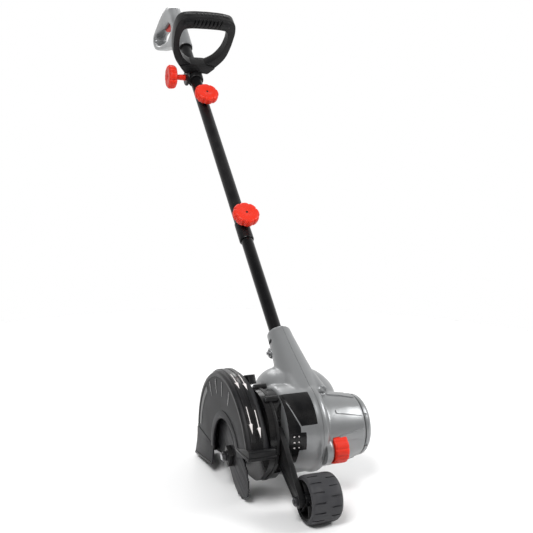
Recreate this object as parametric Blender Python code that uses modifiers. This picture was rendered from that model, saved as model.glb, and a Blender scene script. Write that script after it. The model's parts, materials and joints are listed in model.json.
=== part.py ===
"""Lawn edger: a wheeled head with motor, gear case, blade and guard, on a telescopic shaft with two handles.

Metres, +Z up. The machine travels towards -Y and its blade is on the left, at -X. The ground is at Z = 0 and the
origin is below the middle of the machine's box. Most pieces are placed from SOCKET, the point where the shaft's
axis leaves the head.
"""

from math import cos, pi, radians, sin

import bmesh
import bpy
from mathutils import Matrix, Vector
from mathutils.geometry import convex_hull_2d

# ---- driving dimensions ------------------------------------------------------------------------------------

SOCKET = Vector((0.0208, -0.2909, 0.2852))
GAP = 0.0003  # room left between neighbouring pieces
WALL = 0.003  # moulded plastic wall
SHAFT_TILT = radians(45)

LOWER_TUBE = dict(radius=0.0133, wall=0.0012, start=-0.110, end=0.364)
UPPER_TUBE = dict(radius=0.0145, wall=0.0009, start=0.214, end=0.955)
COLLAR = dict(radius=0.0162, end=0.264)
KNOB_R, KNOB_DEPTH, KNOB_LOBES = 0.0300, 0.0215, 8
KNOB_BASE = 0.0250  # from the shaft's axis to the underside of a knob
KNOB_PLACES = dict(lower=0.2590, upper=0.6620)  # along the shaft
BOLT_R = 0.0040

D_HANDLE_START, D_HANDLE_DEPTH = 0.763, 0.038
D_HANDLE_OUTLINE = [
    (0.030, 0.014), (0.050, 0.037), (0.068, 0.063), (0.0755, 0.100), (0.0775, 0.146),
    (0.0755, 0.165), (0.0680, 0.1755), (0.0350, 0.1810), (0.0, 0.1825),
]
D_HANDLE_HOLE = [
    (0.018, 0.043), (0.036, 0.054), (0.0550, 0.080), (0.0625, 0.110), (0.0610, 0.140), (0.0560, 0.1465), (0.0, 0.1485),
]
D_SLEEVE_R = 0.0215
CLAMP = dict(along=0.7690, ear_r=0.0210, ear_out=0.0260, knob=0.0520)

GRIP_HALF = 0.0200  # half the rear handle's width
GRIP_OUTLINE = [
    (0.6440, 0.6130), (0.6650, 0.6300), (0.7000, 0.6420), (0.7600, 0.6490), (0.8300, 0.6540), (0.8800, 0.6590),
    (0.9050, 0.6650), (0.9230, 0.6770), (0.9300, 0.6920), (0.9240, 0.7070), (0.9000, 0.7230), (0.8500, 0.7460),
    (0.8000, 0.7630), (0.7630, 0.7680), (0.7330, 0.7570), (0.7000, 0.7280), (0.6110, 0.6460),
]
GRIP_HOLE = [
    (0.7250, 0.6880), (0.7440, 0.6790), (0.7700, 0.6710), (0.8000, 0.6675), (0.8400, 0.6680), (0.8780, 0.6750),
    (0.9000, 0.6860), (0.9040, 0.6970), (0.8900, 0.7060), (0.8500, 0.7080), (0.8000, 0.7100), (0.7650, 0.7150),
    (0.7450, 0.7160), (0.7270, 0.7080), (0.7180, 0.6980),
]
TRIGGER_PIVOT, TRIGGER_REACH = (0.7640, 0.7240), 0.0560
BUTTON_PLACE, BUTTON_LEAN = (0.8300, 0.7525), radians(18)
INLET_PLACE = (0.9270, 0.6920)

DRUM_AXIS, DRUM_R, DRUM_LEFT = (-0.162, -0.170), 0.0815, -0.0670
RIM_R, RIM_RIGHT = 0.0845, 0.0160  # the thick band beside the seam
BARREL_AXIS, BARREL_R, BARREL_RIGHT = (-0.168, -0.1765), 0.0695, 0.0960
CAP_RIGHT, CAP_R = 0.1120, 0.0530
DOME_AXIS, DOME_R = (-0.105, -0.143), 0.0730
DOME_PROFILE = [(0.020, 0.083), (0.038, 0.075), (0.056, 0.056), (0.068, 0.034), (DOME_R, 0.010)]
NECK_TOP = dict(along=-0.034, height=0.009, radius=0.0240)
NECK_FOOT = dict(along=-0.200, height=0.026, radius=0.0430)
BLADE_AXIS = (-0.129, -0.221)
MODULE, PINION_TEETH, WHEEL_TEETH = 0.0020, 9, 38
CENTRES = MODULE * (PINION_TEETH + WHEEL_TEETH) / 2
CENTRES_ANGLE = radians(132)  # from the blade's axis up and forwards to the motor's
MOTOR_AXIS = (BLADE_AXIS[0] + CENTRES * cos(CENTRES_ANGLE), BLADE_AXIS[1] + CENTRES * sin(CENTRES_ANGLE))
ARMATURE_SHAFT_R, OUTPUT_SHAFT_R = 0.0040, 0.0060

CASE_LEFT, CASE_RIGHT = -0.0997, -0.0673
CASE_CIRCLES = [(DRUM_AXIS, 0.0780), (BLADE_AXIS, 0.0430), ((-0.152, -0.203), 0.0590)]
GEAR_LEFT, GEAR_WIDTH = -0.0955, 0.0110
GUARD_LEFT, GUARD_RIGHT = -0.146, -0.1000
GUARD_R, GUARD_AXIS = 0.1550, (-0.106, -0.223)
GUARD_FRONT_FOOT, GUARD_REAR_FOOT, GUARD_LIP = -0.1850, -0.2640, -0.2800
ARCH_R = 0.0700

BLADE_R, BLADE_THICK, BLADE_X = 0.0975, 0.0030, -0.1335
BLADE_ANGLE = radians(205)
CLAMP_BLOCK, NUT_DEPTH = 0.0090, 0.0075
BLADE_HALF = [(0.012, 0.034), (0.030, 0.039), (0.060, 0.0395), (0.066, 0.034), (0.078, 0.0315), (0.083, 0.024),
              (0.091, 0.020), (0.094, 0.010)]

ARM_PIVOT, WHEEL_AXIS, ARM_TOP = (-0.224, -0.197), (-0.312, -0.244), (-0.222, -0.155)
ARM_LEFT, ARM_RIGHT = -0.0793, -0.0713
DEPTH_KNOB_R, DEPTH_KNOB_LEFT, DEPTH_KNOB_RIGHT = 0.0272, 0.0225, 0.0495
FRONT_WHEEL_R, FRONT_WHEEL_LEFT, FRONT_WHEEL_RIGHT = 0.0412, -0.0694, -0.0120
REAR_WHEEL_R, REAR_WHEEL_WIDTH, REAR_AXIS = 0.0380, 0.0240, (0.090, -0.2472)
REAR_WHEEL_PLACES = dict(left=-0.0860, right=0.0360)
TYRE_DEPTH = 0.0070

# ---- frames and finishes -----------------------------------------------------------------------------------

TUBE_DIR = Vector((0, cos(SHAFT_TILT), sin(SHAFT_TILT)))
TUBE_UP = Vector((0, -sin(SHAFT_TILT), cos(SHAFT_TILT)))

FINISHES = {
    "silver_plastic": ((0.30, 0.31, 0.32), 0.42, 0.0),
    "black_plastic": ((0.012, 0.012, 0.013), 0.40, 0.0),
    "grey_plastic": ((0.060, 0.060, 0.066), 0.50, 0.0),
    "red_plastic": ((0.80, 0.035, 0.020), 0.35, 0.0),
    "black_tube": ((0.010, 0.010, 0.011), 0.25, 0.3),
    "steel": ((0.55, 0.55, 0.56), 0.32, 1.0),
    "dark_steel": ((0.070, 0.070, 0.074), 0.45, 0.8),
    "rubber": ((0.045, 0.045, 0.048), 0.75, 0.0),
    "copper": ((0.72, 0.30, 0.14), 0.35, 1.0),
}


def axes(z_axis, x_axis):
    """The rotation that takes local Z and X to two directions at right angles."""
    z, x = Vector(z_axis).normalized(), Vector(x_axis).normalized()
    return Matrix((x, z.cross(x), z)).transposed().to_4x4()


ACROSS = axes((1, 0, 0), (0, 1, 0))  # side view: local x, y, z are world Y, Z, X
ALONG = axes(TUBE_DIR, (-1, 0, 0))  # local y is TUBE_UP, local z runs up the shaft
OUTWARD = axes(TUBE_UP, (1, 0, 0))  # local z leaves the shaft at its front
LEFTWARD = axes((-1, 0, 0), TUBE_DIR)


def side(x, point=(0, 0)):
    """A side-view frame at head coordinates: X, and a (Y, Z) pair."""
    return Matrix.Translation(SOCKET + Vector((x, point[0], point[1]))) @ ACROSS


def shaft(along, height=0, across=0, rotation=ALONG):
    """A frame at a distance along the shaft, a height off its axis and an offset across."""
    place = SOCKET + along * TUBE_DIR + height * TUBE_UP + Vector((across, 0, 0))
    return Matrix.Translation(place) @ rotation


# ---- modelling tools ---------------------------------------------------------------------------------------

def new_collection(name):
    collection = bpy.data.collections.new(name)
    bpy.context.scene.collection.children.link(collection)
    return collection


def finish_of(name, finish):
    material = bpy.data.materials.new(name + "_finish")
    material.use_nodes = True
    colour, roughness, metallic = FINISHES[finish]
    inputs = material.node_tree.nodes["Principled BSDF"].inputs
    inputs["Base Color"].default_value = (*colour, 1)
    inputs["Roughness"].default_value = roughness
    inputs["Metallic"].default_value = metallic
    return material


def add(name, mesh, finish, place):
    """Adds a piece. A piece with no finish is a cutter or a helper, and isn't part of the machine."""
    obj = bpy.data.objects.new(name, mesh)
    obj.matrix_world = place
    if finish:
        mesh.materials.append(finish_of(name, finish))
        PARTS.objects.link(obj)
    else:
        CUTTERS.objects.link(obj)
        obj.hide_render = True
        obj.display_type = "WIRE"
    return obj


def turned(name, profile, finish, place, steps=28):
    """A piece turned about local Z. Its (radius, height) points run down the outer side.

    A profile that starts off the axis is closed into a ring.
    """
    mesh = bpy.data.meshes.new(name)
    edges = [(i, i + 1) for i in range(len(profile) - 1)]
    if profile[0][0] > 0:
        edges.append((len(profile) - 1, 0))
    mesh.from_pydata([(radius, 0, height) for radius, height in profile], edges, [])
    obj = add(name, mesh, finish, place)
    screw = obj.modifiers.new("Turn", "SCREW")
    screw.steps = screw.render_steps = steps
    screw.use_merge_vertices = True
    screw.merge_threshold = 0.00001
    return obj


def rod(name, radius, start, end, finish, place, steps=20, bore=0):
    """A plain round bar or, with a bore, a ring."""
    profile = [(bore, end), (radius, end), (radius, start), (bore, start)]
    return turned(name, profile, finish, place, steps)


def prism(name, outlines, depth, finish, place, bevel=0, segments=1):
    """A flat outline, with any further outlines as holes, given a depth along local Z from the frame's plane."""
    curve = bpy.data.curves.new(name, "CURVE")
    curve.dimensions = "2D"
    curve.fill_mode = "BOTH"
    curve.extrude = depth / 2
    for outline in outlines:
        spline = curve.splines.new("POLY")
        spline.points.add(len(outline) - 1)
        for point, (x, y) in zip(spline.points, outline):
            point.co = (x, y, 0, 1)
        spline.use_cyclic_u = True
    flat = bpy.data.objects.new(name + "_curve", curve)
    bpy.context.scene.collection.objects.link(flat)
    graph = bpy.context.evaluated_depsgraph_get()
    mesh = bpy.data.meshes.new_from_object(flat.evaluated_get(graph))
    bpy.data.objects.remove(flat)
    mesh.transform(Matrix.Translation((0, 0, depth / 2)))
    weld(mesh)
    mesh.name = name
    obj = add(name, mesh, finish, place)
    if bevel:
        edge = obj.modifiers.new("Edges", "BEVEL")
        edge.width = bevel
        edge.segments = segments
        edge.limit_method = "ANGLE"
        edge.angle_limit = radians(60)
    return obj


def weld(mesh):
    shape = bmesh.new()
    shape.from_mesh(mesh)
    bmesh.ops.remove_doubles(shape, verts=shape.verts, dist=0.000001)
    bmesh.ops.recalc_face_normals(shape, faces=shape.faces)
    shape.to_mesh(mesh)
    shape.free()


def hull(name, rings, finish, place):
    """The convex skin round a few circles. Each ring is (radius, centre, steps), square to local Z."""
    shape = bmesh.new()
    for radius, (x, y, z), steps in rings:
        for i in range(steps):
            angle = 2 * pi * i / steps
            shape.verts.new((x + radius * cos(angle), y + radius * sin(angle), z))
    skin = bmesh.ops.convex_hull(shape, input=shape.verts)
    inside = [item for item in skin["geom_interior"] if isinstance(item, bmesh.types.BMVert)]
    bmesh.ops.delete(shape, geom=inside, context="VERTS")
    bmesh.ops.recalc_face_normals(shape, faces=shape.faces)
    mesh = bpy.data.meshes.new(name)
    shape.to_mesh(mesh)
    shape.free()
    return add(name, mesh, finish, place)


def block(name, low, high, finish=None):
    """A box between two corners in head coordinates."""
    shape = bmesh.new()
    bmesh.ops.create_cube(shape, size=1)
    low, high = Vector(low), Vector(high)
    size, middle = high - low, (high + low) / 2
    bmesh.ops.scale(shape, vec=size, verts=shape.verts)
    mesh = bpy.data.meshes.new(name)
    shape.to_mesh(mesh)
    shape.free()
    return add(name, mesh, finish, Matrix.Translation(SOCKET + middle))


def boolean(obj, operation, *others):
    for other in others:
        step = obj.modifiers.new(operation.title(), "BOOLEAN")
        step.operation = operation
        step.object = other
    return obj


def cut(obj, *others):
    return boolean(obj, "DIFFERENCE", *others)


def circle(radius, centre=(0, 0), steps=28, start=0.0, turn=2 * pi):
    """Points on a circle, or on an arc of it, in which case both ends are included."""
    count = steps if turn == 2 * pi else steps + 1
    angles = [start + turn * i / steps for i in range(count)]
    return [(centre[0] + radius * cos(a), centre[1] + radius * sin(a)) for a in angles]


def belt(circles, shrink=0.0, steps=40):
    """The outline of a belt drawn tight round some (centre, radius) circles."""
    points = [Vector(p) for centre, radius in circles for p in circle(radius - shrink, centre, steps)]
    return [tuple(points[i]) for i in convex_hull_2d(points)]


def inset(outline, distance):
    """An anticlockwise outline moved inwards, or outwards where the distance is negative."""
    moved = []
    for i, here in enumerate(outline):
        here = Vector(here)
        before, after = Vector(outline[i - 1]), Vector(outline[(i + 1) % len(outline)])
        first, second = (here - before).normalized(), (after - here).normalized()
        normals = Vector((-first.y, first.x)), Vector((-second.y, second.x))
        middle = (normals[0] + normals[1]).normalized()
        moved.append(tuple(here + middle * distance / middle.dot(normals[0])))
    return moved


def mirrored(half):
    """A closed outline from its right half, which runs from bottom to top. Points on the middle line stay single."""
    return half + [(-x, y) for x, y in reversed(half) if x > 0]


def gear_outline(teeth, phase):
    """A plain spur gear with relieved teeth, one of them centred on the phase angle."""
    pitch = MODULE * teeth / 2
    root, tip = pitch - 1.05 * MODULE, pitch + 0.70 * MODULE
    step = 2 * pi / teeth
    points = []
    for i in range(teeth):
        middle = phase + i * step
        for radius, share in ((root, -0.30), (tip, -0.12), (tip, 0.12), (root, 0.30)):
            angle = middle + share * step
            points.append((radius * cos(angle), radius * sin(angle)))
    return points


def lobed_outline(radius, lobes, dip):
    """A hand knob's edge: broad lobes with a shallow groove between each two."""
    points = []
    for i in range(lobes):
        middle = 2 * pi * i / lobes
        for share, depth in ((-0.5, dip), (-0.36, 0.0), (-0.12, 0.0), (0.12, 0.0), (0.36, 0.0)):
            angle = middle + share * 2 * pi / lobes
            points.append(((radius - depth) * cos(angle), (radius - depth) * sin(angle)))
    return points


# ---- head --------------------------------------------------------------------------------------------------

def head_shape(name, shrink):
    """The drum, the motor barrel and the neck as one solid, or with a shrink the hollow inside it."""
    right = BARREL_RIGHT + (0.002 if shrink else 0)
    left = DRUM_LEFT + shrink
    drum_r, rim_r, barrel_r = DRUM_R - shrink, RIM_R - shrink, BARREL_R - shrink
    drum = turned(name, [
        (0, RIM_RIGHT - shrink), (rim_r - 0.008, RIM_RIGHT - shrink), (rim_r, RIM_RIGHT - shrink - 0.005),
        (rim_r, -0.004), (drum_r, -0.009), (drum_r, left + 0.012), (drum_r - 0.004, left + 0.004),
        (drum_r - 0.010, left), (0, left),
    ], None, side(0, DRUM_AXIS), 36)
    barrel = turned(name + "_barrel", [
        (0, right), (barrel_r - 0.0105, right), (barrel_r - 0.0045, 0.060), (barrel_r, 0.022), (barrel_r, -0.001),
        (0, -0.001),
    ], None, side(0, BARREL_AXIS), 36)
    top, foot = NECK_TOP, NECK_FOOT
    start = top["along"] - (0.045 if shrink else 0)
    neck = hull(name + "_neck", [
        (top["radius"] - 0.6 * shrink, (0, top["height"], start), 24),
        (foot["radius"] - shrink, (0, foot["height"], foot["along"]), 24),
    ], None, shaft(0))
    dome = turned(name + "_dome", [
        (0, DOME_PROFILE[0][1] - shrink), *((radius - shrink, x - shrink) for radius, x in DOME_PROFILE),
        (DOME_R - shrink, left + 0.022), (0.067 - shrink, left + 0.009), (0.055 - shrink, left), (0, left),
    ], None, side(0, DOME_AXIS), 32)
    return boolean(drum, "UNION", barrel, neck, dome)


def make_housing():
    outer, inner = head_shape("head_outer", 0), head_shape("head_hollow", WALL)
    tube_bore = rod("tube_bore", LOWER_TUBE["radius"] + GAP, LOWER_TUBE["start"] - 0.005, 0.010, None, shaft(0))
    bolt_bore = rod("bolt_bore", 0.0034, -0.060, 0.060, None, side(0, socket_bolt_point()), 16)
    motor_bore = rod("motor_bore", ARMATURE_SHAFT_R + 0.001, -0.080, -0.055, None, side(0, MOTOR_AXIS), 20)
    arm_bore = rod("arm_bore", 0.0045, -0.080, -0.055, None, side(0, ARM_PIVOT), 20)
    knob_slot = rod("knob_slot", DEPTH_KNOB_R + 0.0008, DEPTH_KNOB_LEFT - 0.0006, DEPTH_KNOB_RIGHT + 0.0006, None,
                    side(0, ARM_PIVOT), 36)
    knob_way = rod("knob_way", 0.0046, RIM_RIGHT - 0.010, DEPTH_KNOB_LEFT, None, side(0, ARM_PIVOT), 20)
    halves = dict(left=(-0.0900, -GAP / 2), right=(GAP / 2, 0.1200))
    for hand, (low, high) in halves.items():
        shell = block(f"housing_{hand}_shell", (low, -0.300, -0.300), (high, 0.100, 0.100), "silver_plastic")
        boolean(shell, "INTERSECT", outer)
        cut(shell, inner, tube_bore, bolt_bore)
        if hand == "left":
            cut(shell, motor_bore, arm_bore)
        else:
            cut(shell, knob_slot, knob_way)
    cap_open = BARREL_RIGHT + GAP
    turned("motor_end_cap", [
        (0, CAP_RIGHT), (CAP_R - 0.008, CAP_RIGHT), (CAP_R, CAP_RIGHT - 0.003), (0.0565, CAP_RIGHT - 0.0085),
        (0.0575, cap_open), (0.0535, cap_open), (0.0500, CAP_RIGHT - 0.0070), (0, CAP_RIGHT - 0.0070),
    ], "silver_plastic", side(0, BARREL_AXIS), 36)


def socket_bolt_point():
    """Where the cross bolt meets the shaft's axis, as a (Y, Z) pair from the socket."""
    along = -0.075
    return (along * TUBE_DIR.y, along * TUBE_DIR.z)


def make_gear_case():
    case = prism("gear_case", [belt(CASE_CIRCLES)], CASE_RIGHT - CASE_LEFT, "black_plastic", side(CASE_LEFT))
    hollow = prism("case_hollow", [belt(CASE_CIRCLES, WALL)], 0.060, None, side(CASE_LEFT + WALL))
    arm_room = dict(front=-0.300, back=-0.2070, left=-0.0812)
    boolean(hollow, "DIFFERENCE", block(
        "arm_room_wall", (arm_room["left"] - WALL, arm_room["front"], -0.300), (0, arm_room["back"] + WALL, 0)))
    cut(case, hollow, block(
        "arm_room", (arm_room["left"], arm_room["front"], -0.300), (-0.060, arm_room["back"], -0.050)))
    cut(case, rod("case_bore", 0.0064, -0.110, -0.090, None, side(0, BLADE_AXIS)))


def make_guard():
    width = GUARD_RIGHT - GUARD_LEFT
    outer_start, outer_turn = radians(0), radians(165)
    front_inner = (BLADE_AXIS[0] - ARCH_R + 0.004, GUARD_FRONT_FOOT)
    rear_inner = (BLADE_AXIS[0] + ARCH_R + 0.010, GUARD_REAR_FOOT)
    plate_low = -0.2350
    back = GUARD_AXIS[0] + GUARD_R
    lip = 0.0160
    outline = [(back + lip, GUARD_LIP), (back + lip, GUARD_LIP + 0.008), (back + 0.004, -0.2480)]
    outline += circle(GUARD_R, GUARD_AXIS, 26, outer_start, outer_turn)
    outline += [front_inner, (front_inner[0], plate_low), (rear_inner[0] - 0.010, plate_low), rear_inner]
    guard = prism("blade_guard", [outline], width, "grey_plastic", side(GUARD_LEFT))
    below = -0.320
    room = [(back - WALL, below)] + circle(GUARD_R - WALL, GUARD_AXIS, 26, outer_start, outer_turn)
    room += [(GUARD_AXIS[0] - GUARD_R + WALL + 0.0055, below)]
    hollow = prism("guard_hollow", [room], width - 2 * WALL, None, side(GUARD_LEFT + WALL))
    arch = [(rear_inner[0], below), (BLADE_AXIS[0] + ARCH_R, BLADE_AXIS[1])]
    arch += circle(ARCH_R, BLADE_AXIS, 20, 0, radians(150)) + [(front_inner[0], below)]
    opening = prism("guard_arch", [arch], 0.010, None, side(GUARD_LEFT - 0.002))
    cut(guard, hollow, opening, rod("guard_bore", 0.0200, -0.110, -0.095, None, side(0, BLADE_AXIS), 24))


def make_blade_drive():
    """The blade, its clamp, the output shaft and the driven gear, all on the blade's axis."""
    half = [(0, -0.0300)] + [(x, -y) for x, y in BLADE_HALF] + [(BLADE_R, 0.0)] + list(reversed(BLADE_HALF))
    outline = half + [(-x, -y) for x, y in half]
    bore = circle(OUTPUT_SHAFT_R + GAP, steps=20)
    spin = Matrix.Rotation(BLADE_ANGLE, 4, "Z")
    prism("blade", [outline, bore], BLADE_THICK, "dark_steel", side(BLADE_X, BLADE_AXIS) @ spin)
    rod("blade_inner_flange", 0.0150, BLADE_X + BLADE_THICK + GAP, -0.1100, "dark_steel",
        side(0, BLADE_AXIS), bore=OUTPUT_SHAFT_R + GAP)
    block_half = 0.0140
    corners = [(block_half, -block_half), (block_half, block_half), (-block_half, block_half),
               (-block_half, -block_half)]
    block_left = BLADE_X - GAP - CLAMP_BLOCK
    nut_left = block_left - GAP - NUT_DEPTH
    prism("blade_outer_flange", [corners, bore], CLAMP_BLOCK, "black_plastic", side(block_left, BLADE_AXIS) @ spin)
    prism("blade_nut", [circle(0.0104, steps=6), bore], NUT_DEPTH, "steel", side(nut_left, BLADE_AXIS) @ spin)
    rod("output_shaft", OUTPUT_SHAFT_R, nut_left - 0.0030, -0.0725, "steel", side(0, BLADE_AXIS))
    prism("output_gear", [gear_outline(WHEEL_TEETH, CENTRES_ANGLE), bore], GEAR_WIDTH, "steel",
          side(GEAR_LEFT, BLADE_AXIS))
    for name, low in (("output_bearing_left", -0.1080), ("output_bearing_right", -0.0779)):
        rod(name, 0.0130, low, low + 0.0060, "steel", side(0, BLADE_AXIS), bore=OUTPUT_SHAFT_R + GAP)


def make_motor():
    """The universal motor inside the barrel, on the motor's axis."""
    shaft_bore = circle(ARMATURE_SHAFT_R + GAP, steps=20)
    rod("armature_shaft", ARMATURE_SHAFT_R, GEAR_LEFT - 0.0005, 0.0940, "steel", side(0, MOTOR_AXIS))
    gap_centre = CENTRES_ANGLE + pi + pi / PINION_TEETH
    prism("drive_pinion", [gear_outline(PINION_TEETH, gap_centre), shaft_bore], GEAR_WIDTH, "steel",
          side(GEAR_LEFT, MOTOR_AXIS))
    rod("armature", 0.0205, 0.0140, 0.0680, "steel", side(0, MOTOR_AXIS), 24, ARMATURE_SHAFT_R + GAP)
    rod("stator", 0.0358, 0.0160, 0.0660, "steel", side(0, MOTOR_AXIS), 28, 0.0220)
    rod("commutator", 0.0110, 0.0710, 0.0830, "copper", side(0, MOTOR_AXIS), 24, ARMATURE_SHAFT_R + GAP)
    blades = 9
    star = []
    for i in range(blades):
        for radius, share in ((0.0150, -0.34), (0.0350, -0.12), (0.0350, 0.10), (0.0150, 0.22)):
            angle = (i + share) * 2 * pi / blades
            star.append((radius * cos(angle), radius * sin(angle)))
    prism("cooling_fan", [star, shaft_bore], 0.0100, "black_plastic", side(-0.0060, MOTOR_AXIS))
    for name, low in (("motor_bearing_front", DRUM_LEFT + WALL + GAP), ("motor_bearing_rear", 0.0860)):
        rod(name, 0.0110, low, low + 0.0070, "steel", side(0, MOTOR_AXIS), bore=ARMATURE_SHAFT_R + GAP)
    for name, low in (("brush_holder_top", 0.0115), ("brush_holder_bottom", -0.0275)):
        y, z = MOTOR_AXIS
        block(name, (0.0725, y - 0.005, z + low), (0.0815, y + 0.005, z + low + 0.0160), "copper")


def make_depth_wheel():
    """The front guide wheel on its arm, which the red knob at the right swings through three cutting depths."""
    arm_depth = ARM_RIGHT - ARM_LEFT
    y0, z0 = ARM_PIVOT
    circles = [((0, 0), 0.0100), ((ARM_TOP[0] - y0, ARM_TOP[1] - z0), 0.0100),
               ((WHEEL_AXIS[0] - y0, WHEEL_AXIS[1] - z0), 0.0115)]
    axle = (WHEEL_AXIS[0] - y0, WHEEL_AXIS[1] - z0)
    holes = [circle(0.0043, steps=20), circle(0.0043, axle, 20)]
    prism("wheel_arm", [belt(circles, steps=20)] + holes, arm_depth, "black_plastic", side(ARM_LEFT, ARM_PIVOT))
    rod("depth_shaft", 0.0040, ARM_LEFT - 0.0012, DEPTH_KNOB_RIGHT - 0.0060, "dark_steel", side(0, ARM_PIVOT))
    knob = turned("depth_knob", [
        (0, DEPTH_KNOB_RIGHT), (DEPTH_KNOB_R - 0.003, DEPTH_KNOB_RIGHT), (DEPTH_KNOB_R, DEPTH_KNOB_RIGHT - 0.002),
        (DEPTH_KNOB_R, DEPTH_KNOB_LEFT + 0.001), (DEPTH_KNOB_R - 0.001, DEPTH_KNOB_LEFT), (0, DEPTH_KNOB_LEFT),
    ], "red_plastic", side(0, ARM_PIVOT), 28)
    cut(knob, rod("depth_knob_bore", 0.0043, 0.010, DEPTH_KNOB_RIGHT - 0.0057, None, side(0, ARM_PIVOT)))
    rod("front_axle_bolt", 0.0040, ARM_LEFT - 0.0002, FRONT_WHEEL_RIGHT + 0.0080, "steel", side(0, WHEEL_AXIS))
    prism("front_axle_nut", [circle(0.0092, steps=6), circle(0.0043, steps=20)], 0.0065, "steel",
          side(ARM_LEFT - 0.0068, WHEEL_AXIS))
    make_wheel("front", FRONT_WHEEL_LEFT, FRONT_WHEEL_RIGHT, FRONT_WHEEL_R, WHEEL_AXIS)


def make_wheel(name, left, right, radius, axis):
    """A moulded hub with a tyre round it. The hub's flange is set back from the tyre's left face."""
    hub_r = radius - TYRE_DEPTH - GAP
    bore = 0.0043
    turned(f"{name}_wheel_hub", [
        (bore, right - 0.002), (0.010, right - 0.002), (0.010, right - 0.012), (hub_r - 0.003, right - 0.012),
        (hub_r - 0.003, right - 0.002), (hub_r, right - 0.002), (hub_r, left + 0.002), (hub_r - 0.003, left + 0.002),
        (hub_r - 0.003, right - 0.015), (0.010, right - 0.015), (0.010, left + 0.001), (bore, left + 0.001),
    ], "black_plastic", side(0, axis), 24)
    inner = radius - TYRE_DEPTH
    turned(f"{name}_tyre", [
        (inner, right), (radius - 0.006, right), (radius - 0.0015, right - 0.004), (radius, right - 0.010),
        (radius, left + 0.006), (radius - 0.0012, left + 0.0015), (radius - 0.003, left), (inner, left),
    ], "rubber", side(0, axis), 28)


def make_rear_wheels():
    """A pair of small wheels behind the head, on a tongue bolted under the drum."""
    y, z = REAR_AXIS
    root = (-0.098, -0.232)
    tongue = prism("rear_wheel_bracket", [belt([((0, 0), 0.0110), ((root[0] - y, root[1] - z), 0.0180)], steps=24),
                                          circle(0.0043, steps=20)], 0.0300, "black_plastic", side(-0.0400, REAR_AXIS))
    for name, radius, axis in (("drum", DRUM_R, DRUM_AXIS), ("dome", DOME_R, DOME_AXIS),
                               ("barrel", BARREL_R, BARREL_AXIS)):
        cut(tongue, rod(name + "_clear", radius + GAP, -0.090, 0.030, None, side(0, axis), 40))
    axle_ends = 0.0020
    rod("rear_axle", 0.0040, REAR_WHEEL_PLACES["left"] - axle_ends,
        REAR_WHEEL_PLACES["right"] + REAR_WHEEL_WIDTH + axle_ends, "steel", side(0, REAR_AXIS))
    for hand, left in REAR_WHEEL_PLACES.items():
        make_wheel(f"rear_{hand}", left, left + REAR_WHEEL_WIDTH, REAR_WHEEL_R, REAR_AXIS)


# ---- shaft and handles -------------------------------------------------------------------------------------

def make_tubes():
    outer, inner = LOWER_TUBE["radius"], LOWER_TUBE["radius"] - LOWER_TUBE["wall"]
    lower = rod("lower_tube", outer, LOWER_TUBE["start"], LOWER_TUBE["end"], "black_tube", shaft(0), 28, inner)
    bolt = side(0, socket_bolt_point())
    cut(lower, rod("tube_bolt_bore", 0.0034, -0.020, 0.020, None, bolt, 16))
    rod("socket_bolt", 0.0030, -0.0270, 0.0270, "steel", bolt, 16)
    outer, inner = UPPER_TUBE["radius"], UPPER_TUBE["radius"] - UPPER_TUBE["wall"]
    turned("upper_tube", [
        (inner, UPPER_TUBE["end"]), (outer, UPPER_TUBE["end"]), (outer, COLLAR["end"] + 0.004),
        (COLLAR["radius"], COLLAR["end"]), (COLLAR["radius"], UPPER_TUBE["start"]), (inner, UPPER_TUBE["start"]),
    ], "black_tube", shaft(0), 28)


def make_knob(name, place):
    """A lobed hand knob on its bolt. Local Z leaves the shaft, and the frame is on its axis at the knob's foot."""
    prism(f"{name}_knob", [lobed_outline(KNOB_R, KNOB_LOBES, 0.0022), circle(BOLT_R + GAP, steps=16)], KNOB_DEPTH,
          "red_plastic", place, bevel=0.0018)


def make_shaft_knobs():
    for name, along in KNOB_PLACES.items():
        make_knob(f"{name}_tube", shaft(along, KNOB_BASE, 0, OUTWARD))
        surface = COLLAR["radius"] if along < COLLAR["end"] else UPPER_TUBE["radius"]
        seat = surface + GAP
        rod(f"{name}_knob_boss", 0.0095, seat, KNOB_BASE - GAP, "black_plastic", shaft(along, 0, 0, OUTWARD), 20,
            BOLT_R + GAP)
        rod(f"{name}_knob_bolt", BOLT_R, seat, KNOB_BASE + KNOB_DEPTH - 0.0035, "steel",
            shaft(along, 0, 0, OUTWARD), 16)


def make_d_handle():
    """The front D-handle, whose sleeve slides on the upper tube and is held by a knob at the left."""
    arc = circle(D_SLEEVE_R, (0, 0), 12, radians(-90), radians(118))
    loop = prism("d_handle", [mirrored(arc + D_HANDLE_OUTLINE), mirrored(D_HANDLE_HOLE)], D_HANDLE_DEPTH,
                 "black_plastic", shaft(D_HANDLE_START), bevel=0.0050)
    sleeve = rod("d_handle_sleeve", D_SLEEVE_R - 0.0006, -0.0080, 0.0460, None, shaft(D_HANDLE_START), 24)
    clamp = shaft(CLAMP["along"], 0, 0, LEFTWARD)
    ear = rod("clamp_ear", CLAMP["ear_r"], 0.0, CLAMP["ear_out"], None, clamp, 24)
    boolean(loop, "UNION", sleeve, ear)
    cut(loop, rod("sleeve_bore", UPPER_TUBE["radius"] + GAP, -0.020, 0.080, None, shaft(D_HANDLE_START), 28),
        rod("ear_bore", BOLT_R + GAP, 0.0100, 0.0300, None, clamp, 16))
    rod("clamp_bolt", BOLT_R, UPPER_TUBE["radius"] + GAP, CLAMP["knob"] + KNOB_DEPTH - 0.0035, "steel", clamp, 16)
    rod("clamp_boss", 0.0080, CLAMP["ear_out"] + GAP, CLAMP["knob"] - GAP, "red_plastic", clamp, 20, BOLT_R + GAP)
    make_knob("clamp", shaft(CLAMP["along"], 0, -CLAMP["knob"], LEFTWARD))


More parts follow.
